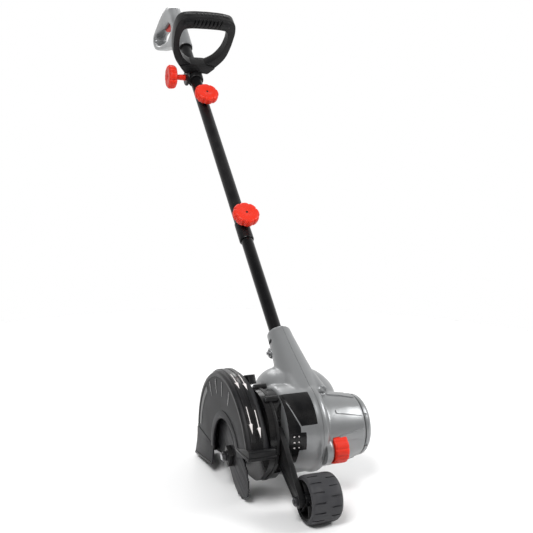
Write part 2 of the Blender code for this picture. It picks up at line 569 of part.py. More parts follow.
def make_rear_handle():
    """The loop handle at the top of the shaft, two shells that hold the switch, the trigger and the inlet."""
    outline, hole = GRIP_OUTLINE, GRIP_HOLE
    tube_bore = rod("handle_bore", UPPER_TUBE["radius"] + GAP, 0.870, 0.9600, None, shaft(0), 28)
    place = Matrix.Translation(SOCKET) @ ACROSS
    y, z = TRIGGER_PIVOT
    slot = block("trigger_slot", (-0.0068, y - 0.0090, z - 0.0400), (0.0068, y + TRIGGER_REACH + 0.0030, z - 0.0020))
    button_frame = button_place()
    button_bore = rod("button_bore", 0.0066, -0.020, 0.020, None, button_frame)
    inlet = inlet_place()
    inlet_bore = rod("inlet_bore", 0.0093, -0.010, 0.020, None, inlet)
    for hand, sign in (("left", -1), ("right", 1)):
        low = -GRIP_HALF if sign < 0 else GAP / 2
        skin_low = low + (WALL if sign < 0 else -0.001)
        shell = prism(f"rear_handle_{hand}_shell", [outline, hole], GRIP_HALF - GAP / 2, "silver_plastic",
                      place @ Matrix.Translation((0, 0, low)))
        hollow = prism(f"handle_hollow_{hand}", [inset(outline, WALL), inset(hole, -WALL)],
                       GRIP_HALF - WALL + 0.001, None, place @ Matrix.Translation((0, 0, skin_low)))
        cut(shell, hollow, tube_bore, slot, button_bore, inlet_bore)
    trigger = [(-0.0060, 0.0035), (-0.0060, -0.0120), (-0.0010, -0.0230), (0.0070, -0.0280), (0.0300, -0.0250),
               (0.0500, -0.0195), (TRIGGER_REACH, -0.0130), (0.0520, -0.0085), (0, 0.0035)]
    prism("trigger", [trigger], 0.0124, "red_plastic", side(-0.0062, TRIGGER_PIVOT))
    rod("trigger_pin", 0.0015, -0.0150, -0.0066, "steel", side(0, TRIGGER_PIVOT), 12)
    block("switch_module", (-0.0090, y + 0.0040, z + 0.0045), (0.0090, y + 0.0340, z + 0.0125), "black_plastic")
    turned("lock_off_button", [(0, 0.0040), (0.0045, 0.0040), (0.0060, 0.0020), (0.0060, -0.0045), (0, -0.0045)],
           "red_plastic", button_frame, 20)
    turned("cable_inlet", [
        (0.0042, 0.0080), (0.0085, 0.0080), (0.0090, 0.0060), (0.0090, -0.0080), (0.0042, -0.0080),
    ], "black_plastic", inlet, 20)


def button_place():
    """The lock button's frame: Z leaves the grip's upper side."""
    spot = Matrix.Translation(SOCKET + Vector((0, *BUTTON_PLACE)))
    return spot @ axes((0, sin(BUTTON_LEAN), cos(BUTTON_LEAN)), (1, 0, 0))


def inlet_place():
    """The cable inlet's frame at the handle's rear end: Z leaves it backwards."""
    return Matrix.Translation(SOCKET + Vector((0, *INLET_PLACE))) @ axes((0, 1, 0), (1, 0, 0))


def smooth_round_pieces():
    for obj in PARTS.objects:
        obj.data.shade_smooth()
        obj.data.set_sharp_from_angle(angle=radians(35))


for leftover in list(bpy.data.objects):
    bpy.data.objects.remove(leftover)
PARTS = new_collection("lawn_edger")
CUTTERS = new_collection("cutters")
CUTTERS.hide_render = True
make_housing()
make_gear_case()
make_guard()
make_blade_drive()
make_motor()
make_depth_wheel()
make_rear_wheels()
make_tubes()
make_shaft_knobs()
make_d_handle()
make_rear_handle()
smooth_round_pieces()
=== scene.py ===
"""The finished look of a lawn edger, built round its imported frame.

Each sub-assembly is a class that holds its sizes and has methods that build its pieces and dress them.
Sizes are in metres. Pieces are placed from the frame's own boxes, through the point where the shaft's axis
leaves the head.
"""

import json
import logging
from dataclasses import dataclass, field
from enum import Enum
from math import atan2, cos, exp, pi, radians, sin, sqrt
from typing import Callable, Sequence

import bmesh
import bpy
from mathutils import Matrix, Vector


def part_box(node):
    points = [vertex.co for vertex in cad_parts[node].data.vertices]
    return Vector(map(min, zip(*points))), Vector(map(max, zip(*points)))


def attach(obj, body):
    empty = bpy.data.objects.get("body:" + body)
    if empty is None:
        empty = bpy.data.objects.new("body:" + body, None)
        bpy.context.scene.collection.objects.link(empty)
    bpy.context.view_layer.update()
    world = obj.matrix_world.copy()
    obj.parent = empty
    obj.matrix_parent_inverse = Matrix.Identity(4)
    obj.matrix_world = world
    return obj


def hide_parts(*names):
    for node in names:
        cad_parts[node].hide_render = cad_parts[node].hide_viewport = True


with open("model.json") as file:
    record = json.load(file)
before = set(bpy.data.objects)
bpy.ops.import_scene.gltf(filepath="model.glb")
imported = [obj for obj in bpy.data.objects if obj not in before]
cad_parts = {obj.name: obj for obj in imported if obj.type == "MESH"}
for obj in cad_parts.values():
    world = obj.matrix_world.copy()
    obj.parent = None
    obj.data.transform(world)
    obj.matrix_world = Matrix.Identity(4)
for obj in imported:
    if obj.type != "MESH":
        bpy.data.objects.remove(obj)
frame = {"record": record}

log = logging.getLogger("lawn_edger")

Outline = Sequence[tuple[float, float]]
Corner = tuple[float, float, float]
SocketValue = float | tuple | bpy.types.NodeSocket


# ---- frames ------------------------------------------------------------------------------------------------

def axes(z_axis: Sequence[float], x_axis: Sequence[float]) -> Matrix:
    """Gives the rotation that takes local Z and X to two directions at right angles.

    Args:
        z_axis: Where local Z points.
        x_axis: Where local X points.

    Returns:
        The rotation, as a 4 by 4 matrix.
    """
    z, x = Vector(z_axis).normalized(), Vector(x_axis).normalized()
    return Matrix((x, z.cross(x), z)).transposed().to_4x4()


TUBE_DIR = Vector((0, sqrt(0.5), sqrt(0.5)))
TUBE_UP = Vector((0, -sqrt(0.5), sqrt(0.5)))
ACROSS = axes((1, 0, 0), (0, 1, 0))  # local x, y, z are the machine's Y, Z, X
ALONG = axes(TUBE_DIR, (-1, 0, 0))  # local y is TUBE_UP, local z runs up the shaft
OUTWARD = axes(TUBE_UP, (1, 0, 0))  # local z leaves the shaft at its front
LEFTWARD = axes((-1, 0, 0), TUBE_DIR)


@dataclass
class Datum:
    """The socket point, from which every piece is placed."""

    tube_middle: float = 0.127  # from the socket to the middle of the lower tube, along the shaft
    socket: Vector = field(init=False)

    def __post_init__(self) -> None:
        """Finds the socket from the lower tube's box."""
        low, high = (Vector(corner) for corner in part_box("lower_tube"))
        self.socket = (low + high) / 2 - self.tube_middle * TUBE_DIR

    def side(self, x: float, point: tuple[float, float] = (0, 0)) -> Matrix:
        """Gives a side-view frame at an X and a (Y, Z) pair, all measured from the socket."""
        return Matrix.Translation(self.socket + Vector((x, point[0], point[1]))) @ ACROSS

    def shaft(self, along: float, height: float = 0, across: float = 0, rotation: Matrix = ALONG) -> Matrix:
        """Gives a frame on the shaft.

        Args:
            along: Distance from the socket up the shaft.
            height: Distance from the shaft's axis, forwards and up.
            across: Distance to the right.
            rotation: How the frame is turned.

        Returns:
            The frame.
        """
        place = self.socket + along * TUBE_DIR + height * TUBE_UP + Vector((across, 0, 0))
        return Matrix.Translation(place) @ rotation

    def head(self, x: float, y: float, z: float) -> Vector:
        """Gives a point measured from the socket."""
        return self.socket + Vector((x, y, z))


# ---- mesh tools --------------------------------------------------------------------------------------------

def new_piece(name: str, shape: bmesh.types.BMesh, sharp: float = 40) -> bpy.types.Object:
    """Turns a bmesh into a smooth-shaded object of the scene.

    Args:
        name: The object's name.
        shape: The mesh, which is freed.
        sharp: Edges bent by more than this many degrees stay crisp.

    Returns:
        The object, at the origin.
    """
    bmesh.ops.remove_doubles(shape, verts=shape.verts, dist=0.000002)
    bmesh.ops.recalc_face_normals(shape, faces=shape.faces)
    mesh = bpy.data.meshes.new(name)
    shape.to_mesh(mesh)
    shape.free()
    piece = bpy.data.objects.new(name, mesh)
    bpy.context.scene.collection.objects.link(piece)
    return shade(piece, sharp)


def shade(piece: bpy.types.Object, sharp: float = 40) -> bpy.types.Object:
    """Shades a piece smooth, with crisp edges above an angle in degrees."""
    piece.data.shade_smooth()
    piece.data.set_sharp_from_angle(angle=radians(sharp))
    return piece


def settle(piece: bpy.types.Object, sharp: float = 40) -> bpy.types.Object:
    """Applies a piece's modifiers to its mesh."""
    graph = bpy.context.evaluated_depsgraph_get()
    mesh = bpy.data.meshes.new_from_object(piece.evaluated_get(graph))
    piece.modifiers.clear()
    piece.data = mesh
    return shade(piece, sharp)


def fillet(corners: Sequence[Corner], closed: bool = False, steps: int = 4) -> list[tuple[float, float]]:
    """Rounds the corners of an outline.

    Args:
        corners: Points with the radius that rounds each.
        closed: Whether the last point joins the first.
        steps: How many segments a rounded corner gets.

    Returns:
        The outline's points.
    """
    points: list[tuple[float, float]] = []
    count = len(corners)
    for i, (x, y, radius) in enumerate(corners):
        here = Vector((x, y))
        if radius <= 0 or (not closed and i in (0, count - 1)):
            points.append((x, y))
            continue
        before = Vector(corners[i - 1][:2]) - here
        after = Vector(corners[(i + 1) % count][:2]) - here
        reach = min(radius, 0.49 * before.length, 0.49 * after.length)
        start, end = here + before.normalized() * reach, here + after.normalized() * reach
        for step in range(steps + 1):
            t = step / steps
            point = start * (1 - t) ** 2 + 2 * here * t * (1 - t) + end * t ** 2
            points.append((point.x, point.y))
    return points


def lathe(name: str, profile: Outline, place: Matrix, steps: int = 64, sharp: float = 40) -> bpy.types.Object:
    """Turns a profile about a frame's Z axis.

    Args:
        name: The object's name.
        profile: (radius, height) points. A profile that starts off the axis is closed into a ring.
        place: The frame.
        steps: Segments round the axis.
        sharp: Edges bent by more than this many degrees stay crisp.

    Returns:
        The turned piece.
    """
    shape = bmesh.new()
    rings = []
    for radius, height in profile:
        count = 1 if radius < 1e-6 else steps
        angles = [2 * pi * i / count for i in range(count)]
        rings.append([shape.verts.new(place @ Vector((radius * cos(a), radius * sin(a), height)))
                      for a in angles])
    if len(rings[0]) > 1:
        rings.append(rings[0])
    for one, two in zip(rings, rings[1:]):
        bridge(shape, one, two)
    return new_piece(name, shape, sharp)


def bridge(shape: bmesh.types.BMesh, one: list, two: list) -> None:
    """Joins two rings of vertices with faces. A ring may be a single vertex."""
    count = max(len(one), len(two))
    for i in range(count):
        j = (i + 1) % count
        corners = [one[i % len(one)], one[j % len(one)], two[j % len(two)], two[i % len(two)]]
        face = list(dict.fromkeys(corners))
        if len(face) > 2:
            shape.faces.new(face)


def skin(name: str, rings: Sequence[Sequence[Vector]], loop: bool = False,
         sharp: float = 40) -> bpy.types.Object:
    """Stretches a skin over closed rings of points.

    Args:
        name: The object's name.
        rings: The rings, each with the same number of points.
        loop: Whether the last ring joins the first. Otherwise both ends are capped.
        sharp: Edges bent by more than this many degrees stay crisp.

    Returns:
        The skinned piece.
    """
    shape = bmesh.new()
    rows = [[shape.verts.new(point) for point in ring] for ring in rings]
    for one, two in zip(rows, rows[1:] + rows[:1] if loop else rows[1:]):
        bridge(shape, one, two)
    if not loop:
        shape.faces.new(rows[0])
        shape.faces.new(rows[-1])
    return new_piece(name, shape, sharp)


def slab(name: str, outlines: Sequence[Outline], depth: float, place: Matrix, bevel: float = 0.0006,
         segments: int = 2) -> bpy.types.Object:
    """Makes a flat plate with softened edges.

    Args:
        name: The object's name.
        outlines: The outer outline, then any holes.
        depth: Thickness along the frame's Z.
        place: The frame.
        bevel: Width of the softened edge.
        segments: How many faces round it off.

    Returns:
        The plate.
    """
    curve = bpy.data.curves.new(name, "CURVE")
    curve.dimensions = "2D"
    curve.fill_mode = "BOTH"
    curve.extrude = depth / 2
    for outline in outlines:
        spline = curve.splines.new("POLY")
        spline.points.add(len(outline) - 1)
        for point, (x, y) in zip(spline.points, outline):
            point.co = (x, y, 0, 1)
        spline.use_cyclic_u = True
    flat = bpy.data.objects.new(name + "_flat", curve)
    bpy.context.scene.collection.objects.link(flat)
    graph = bpy.context.evaluated_depsgraph_get()
    mesh = bpy.data.meshes.new_from_object(flat.evaluated_get(graph))
    bpy.data.objects.remove(flat)
    shape = bmesh.new()
    shape.from_mesh(mesh)
    bmesh.ops.transform(shape, matrix=place @ Matrix.Translation((0, 0, depth / 2)), verts=shape.verts)
    piece = new_piece(name, shape)
    if bevel:
        edge = piece.modifiers.new("Edges", "BEVEL")
        edge.width = bevel
        edge.segments = segments
        edge.limit_method = "ANGLE"
        edge.angle_limit = radians(50)
        settle(piece)
    return piece


def pad(name: str, surface: Callable[[float, float, float], Vector], height: float, columns: int = 16,
        rows: int = 12, sink: float = 0.0015) -> bpy.types.Object:
    """Lays a thin raised pad on a curved surface.

    Args:
        name: The object's name.
        surface: Gives the point at (u, v, height above the surface), with u and v from 0 to 1.
        height: How proud the pad stands.
        columns: Steps along u.
        rows: Steps along v.
        sink: How deep its rim goes below the surface.

    Returns:
        The closed pad.
    """
    shape = bmesh.new()
    lift = {True: -sink, False: height}
    layers = []
    for top in (True, False):
        grid = []
        for i in range(columns + 1):
            row = []
            for j in range(rows + 1):
                rim = i in (0, columns) or j in (0, rows)
                row.append(shape.verts.new(surface(i / columns, j / rows, lift[rim] if top else -sink)))
            grid.append(row)
        layers.append(grid)
        for i in range(columns):
            for j in range(rows):
                corners = [grid[i][j], grid[i + 1][j], grid[i + 1][j + 1], grid[i][j + 1]]
                shape.faces.new(corners if top else corners[::-1])
    return new_piece(name, shape, 30)


def fuse(name: str, parts: Sequence[bpy.types.Object], voxel: float, passes: int, sharp: float = 60,
         ) -> bpy.types.Object:
    """Melts overlapping solids into one moulded skin with soft inner corners.

    Args:
        name: The object's name.
        parts: The solids, which are used up.
        voxel: The finest detail that is kept.
        passes: How often the skin is relaxed.
        sharp: Edges bent by more than this many degrees stay crisp.

    Returns:
        The one solid.
    """
    shape = bmesh.new()
    for part in parts:
        shape.from_mesh(part.data)
        bpy.data.objects.remove(part)
    mesh = bpy.data.meshes.new(name)
    shape.to_mesh(mesh)
    shape.free()
    piece = bpy.data.objects.new(name, mesh)
    bpy.context.scene.collection.objects.link(piece)
    melt = piece.modifiers.new("Melt", "REMESH")
    melt.mode = "VOXEL"
    melt.voxel_size = voxel
    relax = piece.modifiers.new("Relax", "SMOOTH")
    relax.factor = 0.5
    relax.iterations = passes
    return settle(piece, sharp)


def carve(piece: bpy.types.Object, *cutters: bpy.types.Object, keep: str = "DIFFERENCE", sharp: float = 40,
          ) -> bpy.types.Object:
    """Cuts a piece with others, which are used up.

    Args:
        piece: The piece to cut.
        cutters: Closed solids.
        keep: The Boolean's operation.
        sharp: Edges bent by more than this many degrees stay crisp.

    Returns:
        The cut piece.
    """
    for cutter in cutters:
        step = piece.modifiers.new("Carve", "BOOLEAN")
        step.operation = keep
        step.object = cutter
    settle(piece, sharp)
    for cutter in cutters:
        bpy.data.objects.remove(cutter)
    return piece


def halve(solid: bpy.types.Object, name: str, x: float, keep_right: bool,
          sharp: float = 35) -> bpy.types.Object:
    """Copies one side of a solid, cut at an X and closed with a flat face.

    Args:
        solid: The solid, which is left as it is.
        name: The new object's name.
        x: Where the cut is.
        keep_right: Whether the side with the larger X is kept.
        sharp: Edges bent by more than this many degrees stay crisp.

    Returns:
        The side.
    """
    shape = bmesh.new()
    shape.from_mesh(solid.data)
    cut = bmesh.ops.bisect_plane(shape, geom=[*shape.verts, *shape.edges, *shape.faces], plane_co=(x, 0, 0),
                                 plane_no=(1, 0, 0), clear_inner=keep_right, clear_outer=not keep_right)
    rim = [item for item in cut["geom_cut"] if isinstance(item, bmesh.types.BMEdge)]
    bmesh.ops.triangle_fill(shape, use_beauty=True, edges=rim)
    return new_piece(name, shape, sharp)


def box(low: Vector, high: Vector) -> bpy.types.Object:
    """Makes a plain box between two corners, for cutting with."""
    shape = bmesh.new()
    bmesh.ops.create_cube(shape, size=1)
    bmesh.ops.scale(shape, vec=high - low, verts=shape.verts)
    bmesh.ops.translate(shape, vec=(high + low) / 2, verts=shape.verts)
    return new_piece("cutter", shape)


def arc(radius: float, centre: tuple[float, float] = (0, 0), start: float = 0, turn: float = 360,
        steps: int = 48) -> list[tuple[float, float]]:
    """Gives points on a circle or on an arc of it, with the angles in degrees."""
    count = steps if turn == 360 else steps + 1
    angles = [radians(start + turn * i / steps) for i in range(count)]
    return [(centre[0] + radius * cos(a), centre[1] + radius * sin(a)) for a in angles]


def belt(circles: Sequence[tuple[tuple[float, float], float]], steps: int = 96) -> list[tuple[float, float]]:
    """Gives the outline of a belt drawn tight round some (centre, radius) circles."""
    points = []
    middle = Vector((sum(c[0][0] for c in circles), sum(c[0][1] for c in circles))) / len(circles)
    for i in range(steps):
        way = Vector((cos(2 * pi * i / steps), sin(2 * pi * i / steps)))
        centre, radius = max(circles, key=lambda item: Vector(item[0]).dot(way) + item[1])
        points.append(tuple(Vector(centre) + radius * way))
    return sorted(points, key=lambda p: atan2(p[1] - middle.y, p[0] - middle.x))


# ---- finishes ----------------------------------------------------------------------------------------------

class Slot(Enum):
    """The record's material slots."""

    SILVER = "silver_plastic"
    BLACK = "black_plastic"
    GUARD = "guard_plastic"
    RED = "red_plastic"
    TUBE = "black_tube"
    STEEL = "steel"
    BLADE = "blade_steel"
    IRON = "motor_iron"
    COPPER = "copper"
    TYRE = "tyre"


@dataclass
class Graph:
    """A node tree that is filled in a few words at a time."""

    tree: bpy.types.NodeTree

    def add(self, kind: str, settings: dict[str, object] | None = None,
            **sockets: SocketValue) -> bpy.types.Node:
        """Adds a node.

        Args:
            kind: The node's type.
            settings: Its properties.
            **sockets: Values or links for its inputs. An underscore stands for a space, and a name such as i0
                picks an input by its number.

        Returns:
            The node.
        """
        node = self.tree.nodes.new(kind)
        for name, value in (settings or {}).items():
            setattr(node, name, value)
        for name, value in sockets.items():
            numbered = name[0] == "i" and name[1:].isdigit()
            key: int | str = int(name[1:]) if numbered else name.replace("_", " ")
            if isinstance(value, bpy.types.NodeSocket):
                self.tree.links.new(value, node.inputs[key])
            else:
                node.inputs[key].default_value = value
        return node

    def value(self, operation: str, one: SocketValue, two: SocketValue = 0.0) -> bpy.types.NodeSocket:
        """Adds a sum, a product or another simple operation on numbers, and gives its result."""
        return self.add("ShaderNodeMath", {"operation": operation}, i0=one, i1=two).outputs[0]

    def stretch(self, source: SocketValue, low: float, high: float, to_low: SocketValue = 0.0,
                to_high: SocketValue = 1.0) -> bpy.types.NodeSocket:
        """Maps a range of numbers onto another one, cut off at its ends."""
        return self.add("ShaderNodeMapRange", None, i0=source, i1=low, i2=high, i3=to_low,
                        i4=to_high).outputs[0]

    def blend(self, share: SocketValue, one: SocketValue, two: SocketValue) -> bpy.types.NodeSocket:
        """Mixes two colours."""
        return self.add("ShaderNodeMix", {"data_type": "RGBA"}, i0=share, i6=one, i7=two).outputs[2]


def effect(name: str, inputs: dict[str, float], outputs: Sequence[str]) -> tuple[Graph, dict, bpy.types.Node]:
    """Starts a shared shader effect as a node group.

    Args:
        name: The group's name.
        inputs: Its number inputs with their usual values.
        outputs: Its number outputs.

    Returns:
        The graph to fill, its input sockets by name, and its output node.
    """
    tree = bpy.data.node_groups.new(name, "ShaderNodeTree")
    for label, usual in inputs.items():
        tree.interface.new_socket(label, in_out="INPUT", socket_type="NodeSocketFloat").default_value = usual
    for label in outputs:
        tree.interface.new_socket(label, in_out="OUTPUT", socket_type="NodeSocketFloat")
    graph = Graph(tree)
    entry = graph.add("NodeGroupInput")
    return graph, {label: entry.outputs[label] for label in inputs}, graph.add("NodeGroupOutput")


def build_moulded_grain() -> bpy.types.NodeTree:
    """Makes the fine spark-eroded grain of a moulded surface, with slow waves under it."""
    graph, given, out = effect("moulded_grain", {"Size": 0.0006, "Waviness": 0.15}, ["Height", "Speckle"])
    place = graph.add("ShaderNodeTexCoord").outputs["Object"]
    fineness = graph.value("DIVIDE", 1.0, given["Size"])
    fine = graph.add("ShaderNodeTexNoise", None, Vector=place, Scale=fineness, Detail=3.0, Roughness=0.6)
    slow = graph.add("ShaderNodeTexNoise", None, Vector=place, Scale=45.0, Detail=1.0)
    waves = graph.value("MULTIPLY", slow.outputs[0], given["Waviness"])
    graph.tree.links.new(graph.value("ADD", fine.outputs[0], waves), out.inputs["Height"])
    graph.tree.links.new(graph.stretch(fine.outputs[0], 0.35, 0.65), out.inputs["Speckle"])
    return graph.tree


def build_edge_wear() -> bpy.types.NodeTree:
    """Makes a mask of rubbed outer edges, broken up by noise."""
    graph, given, out = effect("edge_wear", {"Reach": 0.06, "Breakup": 220.0}, ["Mask"])
    shape = graph.add("ShaderNodeNewGeometry").outputs["Pointiness"]
    place = graph.add("ShaderNodeTexCoord").outputs["Object"]
    noise = graph.add("ShaderNodeTexNoise", None, Vector=place, Scale=given["Breakup"], Detail=4.0).outputs[0]
    edge = graph.value("DIVIDE", graph.value("SUBTRACT", shape, 0.515), given["Reach"])
    broken = graph.value("MULTIPLY", edge, graph.stretch(noise, 0.42, 0.62))
    graph.tree.links.new(graph.stretch(broken, 0.0, 1.0), out.inputs["Mask"])
    return graph.tree


def build_dust() -> bpy.types.NodeTree:
    """Makes a mask of fine dust in patches, which settles more on upward faces."""
    graph, given, out = effect("dust", {"Patch": 28.0, "Upward": 0.5}, ["Mask", "Mottle"])
    place = graph.add("ShaderNodeTexCoord").outputs["Object"]
    patches = graph.add("ShaderNodeTexNoise", None, Vector=place, Scale=given["Patch"], Detail=5.0).outputs[0]
    facing = graph.add("ShaderNodeNewGeometry").outputs["Normal"]
    upward = graph.add("ShaderNodeSeparateXYZ", None, Vector=facing).outputs["Z"]
    share = graph.value("MULTIPLY", graph.stretch(upward, -0.4, 1.0), given["Upward"])
    mask = graph.value("MULTIPLY", graph.stretch(patches, 0.40, 0.75), graph.value("ADD", share, 0.25))
    graph.tree.links.new(mask, out.inputs["Mask"])
    graph.tree.links.new(graph.stretch(patches, 0.30, 0.70), out.inputs["Mottle"])
    return graph.tree


def build_brushed() -> bpy.types.NodeTree:
    """Makes the fine turning or grinding lines of bare metal, which run round the machine's X axis."""
    graph, given, out = effect("brushed", {"Lines": 2600.0, "Length": 0.05}, ["Height", "Streak"])
    place = graph.add("ShaderNodeTexCoord").outputs["Object"]
    across = graph.add("ShaderNodeCombineXYZ", None, X=1.0, Y=given["Length"], Z=given["Length"]).outputs[0]
    drawn = graph.add("ShaderNodeVectorMath", {"operation": "MULTIPLY"}, i0=place, i1=across).outputs[0]
    lines = graph.add("ShaderNodeTexNoise", None, Vector=drawn, Scale=given["Lines"], Detail=2.0).outputs[0]
    graph.tree.links.new(lines, out.inputs["Height"])
    graph.tree.links.new(graph.stretch(lines, 0.35, 0.65), out.inputs["Streak"])
    return graph.tree


@dataclass(frozen=True)
class Effects:
    """The shared shader effects."""

    grain: bpy.types.NodeTree
    wear: bpy.types.NodeTree
    dust: bpy.types.NodeTree
    brushed: bpy.types.NodeTree


EFFECTS = Effects(build_moulded_grain(), build_edge_wear(), build_dust(), build_brushed())
MADE: dict[str, bpy.types.Material] = {}


@dataclass(frozen=True)
class Finish:
    """How a surface looks: its colours, its gloss and its texture."""

    name: str
    slot: Slot
    colour: tuple[float, float, float]
    shade: tuple[float, float, float]  # the colour where it is mottled or worn by handling
    roughness: float
    metallic: float = 0.0
    coat: float = 0.0
    specular: float = 0.4
    grain_size: float = 0.0006
    grain_depth: float = 0.00003
    worn: tuple[float, float, float] = (0.3, 0.3, 0.3)
    wear_share: float = 0.15
    dust_share: float = 0.05
    lines: bool = False

    def material(self) -> bpy.types.Material:
        """Builds the material the first time, and then gives the same one."""
        if self.name not in MADE:
            MADE[self.name] = self.build()
        return MADE[self.name]

    def build(self) -> bpy.types.Material:
        """Builds the node tree: mottled colour, worn edges, dust, and a bumped grain."""
        material = bpy.data.materials.new(self.name)
        material.use_nodes = True
        graph = Graph(material.node_tree)
        shader = material.node_tree.nodes["Principled BSDF"]
        relief = EFFECTS.brushed if self.lines else EFFECTS.grain
        grain = graph.add("ShaderNodeGroup", {"node_tree": relief})
        if not self.lines:
            grain.inputs["Size"].default_value = self.grain_size
        speckle = grain.outputs["Streak" if self.lines else "Speckle"]
        wear = graph.add("ShaderNodeGroup", {"node_tree": EFFECTS.wear}).outputs["Mask"]
        dust = graph.add("ShaderNodeGroup", {"node_tree": EFFECTS.dust})
        mottle = graph.value("ADD", graph.value("MULTIPLY", dust.outputs["Mottle"], 0.7),
                             graph.value("MULTIPLY", speckle, 0.3))
        base = graph.blend(mottle, (*self.colour, 1.0), (*self.shade, 1.0))
        rubbed = graph.blend(graph.value("MULTIPLY", wear, self.wear_share), base, (*self.worn, 1.0))
        dusty = graph.blend(graph.value("MULTIPLY", dust.outputs["Mask"], self.dust_share), rubbed,
                            (0.42, 0.40, 0.37, 1.0))
        gloss = graph.stretch(mottle, 0.0, 1.0, self.roughness - 0.04, self.roughness + 0.07)
        bump = graph.add("ShaderNodeBump", None, Strength=1.0, Distance=self.grain_depth,
                         Height=grain.outputs["Height"])
        for socket, link in (("Base Color", dusty), ("Roughness", gloss), ("Normal", bump.outputs[0])):
            graph.tree.links.new(link, shader.inputs[socket])
        shader.inputs["Metallic"].default_value = self.metallic
        shader.inputs["Specular IOR Level"].default_value = self.specular
        shader.inputs["Coat Weight"].default_value = self.coat
        shader.inputs["Coat Roughness"].default_value = 0.12
        return material


SILVER = Finish("silver_moulding", Slot.SILVER, (0.250, 0.255, 0.258), (0.222, 0.228, 0.232), 0.33,
                metallic=0.5, grain_size=0.0005, grain_depth=0.000012, worn=(0.42, 0.42, 0.43), coat=0.12)
BLACK = Finish("black_moulding", Slot.BLACK, (0.0045, 0.0045, 0.0050), (0.0075, 0.0075, 0.0082), 0.34,
               specular=0.22, grain_depth=0.00002, worn=(0.06, 0.06, 0.062))
# glossy black moulding for the plates and the case; on the guard's face slots this black is painted shade
GLOSS_BLACK_AND_SLOT_SHADE = Finish("glossy_black_moulding_and_slot_shade", Slot.BLACK, (0.0032, 0.0032, 0.0036),
                     (0.0050, 0.0050, 0.0055), 0.18, specular=0.28, grain_depth=0.000008,
                     worn=(0.03, 0.03, 0.032))
GRIP = Finish("grip_moulding", Slot.BLACK, (0.0035, 0.0035, 0.0040), (0.0055, 0.0055, 0.0062), 0.40,
              specular=0.22, grain_size=0.0009, grain_depth=0.00004, worn=(0.05, 0.05, 0.052))
GUARD_GREY = Finish("guard_moulding", Slot.GUARD, (0.0120, 0.0120, 0.0135), (0.0085, 0.0085, 0.0100), 0.46,
                    specular=0.16, grain_size=0.0007, grain_depth=0.00003, worn=(0.12, 0.12, 0.125))
RED = Finish("red_moulding", Slot.RED, (0.72, 0.026, 0.008), (0.62, 0.020, 0.006), 0.42, specular=0.25,
             grain_depth=0.000018, worn=(0.80, 0.10, 0.06))
TUBE_PAINT = Finish("tube_enamel", Slot.TUBE, (0.0030, 0.0030, 0.0034), (0.0045, 0.0045, 0.0050), 0.10,
                    specular=0.35, grain_size=0.002, grain_depth=0.000003, worn=(0.02, 0.02, 0.02),
                    wear_share=0.0, dust_share=0.01)
MATT_PAINT = Finish("tube_powder_coat", Slot.TUBE, (0.0045, 0.0045, 0.0050), (0.0065, 0.0065, 0.0070), 0.34,
                    specular=0.2, grain_size=0.0008, grain_depth=0.000006, worn=(0.02, 0.02, 0.02),
                    wear_share=0.0, dust_share=0.02)
ZINC = Finish("zinc_plate", Slot.STEEL, (0.50, 0.50, 0.51), (0.34, 0.34, 0.35), 0.30, metallic=1.0,
              lines=True, grain_depth=0.00001, worn=(0.65, 0.65, 0.66))
BLUED = Finish("blued_steel", Slot.STEEL, (0.080, 0.080, 0.085), (0.050, 0.050, 0.054), 0.34, metallic=0.9,
               lines=True, grain_depth=0.00001, worn=(0.30, 0.30, 0.31))
DARK_STEEL = Finish("blackened_steel", Slot.BLADE, (0.013, 0.013, 0.015), (0.020, 0.020, 0.022), 0.42,
                    metallic=0.2, specular=0.25, grain_depth=0.00001, worn=(0.12, 0.12, 0.125),
                    wear_share=0.12)
RUBBER = Finish("wheel_rubber", Slot.TYRE, (0.026, 0.026, 0.029), (0.038, 0.038, 0.042), 0.55, specular=0.3,
                grain_size=0.0011, grain_depth=0.00006, worn=(0.09, 0.09, 0.092), dust_share=0.10)
IRON = Finish("laminated_iron", Slot.IRON, (0.20, 0.20, 0.21), (0.13, 0.13, 0.14), 0.45, metallic=0.9,
              lines=True)
COPPER = Finish("turned_copper", Slot.COPPER, (0.62, 0.24, 0.11), (0.48, 0.17, 0.08), 0.32, metallic=1.0,
                lines=True)
WHITE_PRINT = Finish("white_print", Slot.GUARD, (0.74, 0.70, 0.69), (0.62, 0.58, 0.57), 0.50,
                     grain_depth=0.00001, wear_share=0.1, worn=(0.4, 0.4, 0.4), dust_share=0.05)

ROUGH_FINISHES = {Slot.SILVER: SILVER, Slot.BLACK: BLACK, Slot.GUARD: GUARD_GREY, Slot.RED: RED,
                  Slot.TUBE: MATT_PAINT, Slot.STEEL: ZINC, Slot.BLADE: DARK_STEEL, Slot.IRON: IRON,
                  Slot.COPPER: COPPER, Slot.TYRE: RUBBER}


def dress(piece: bpy.types.Object, finish: Finish, body: str, *stands_for: str) -> bpy.types.Object:
    """Gives a piece its finish and its place among the moving bodies.

    Args:
        piece: The piece.
        finish: How it looks.
        body: The frame's body that carries it.
        *stands_for: The frame's nodes that it replaces.

    Returns:
        The piece.
    """
    piece.data.materials.clear()
    piece.data.materials.append(finish.material())
    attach(piece, body)
    if stands_for:
        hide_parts(*stands_for)
    log.info("%s: %d faces on %s", piece.name, len(piece.data.polygons), body)
    return piece


@dataclass
class Assembly:
    """What every sub-assembly knows: where the machine is."""

    datum: Datum


# ---- head --------------------------------------------------------------------------------------------------

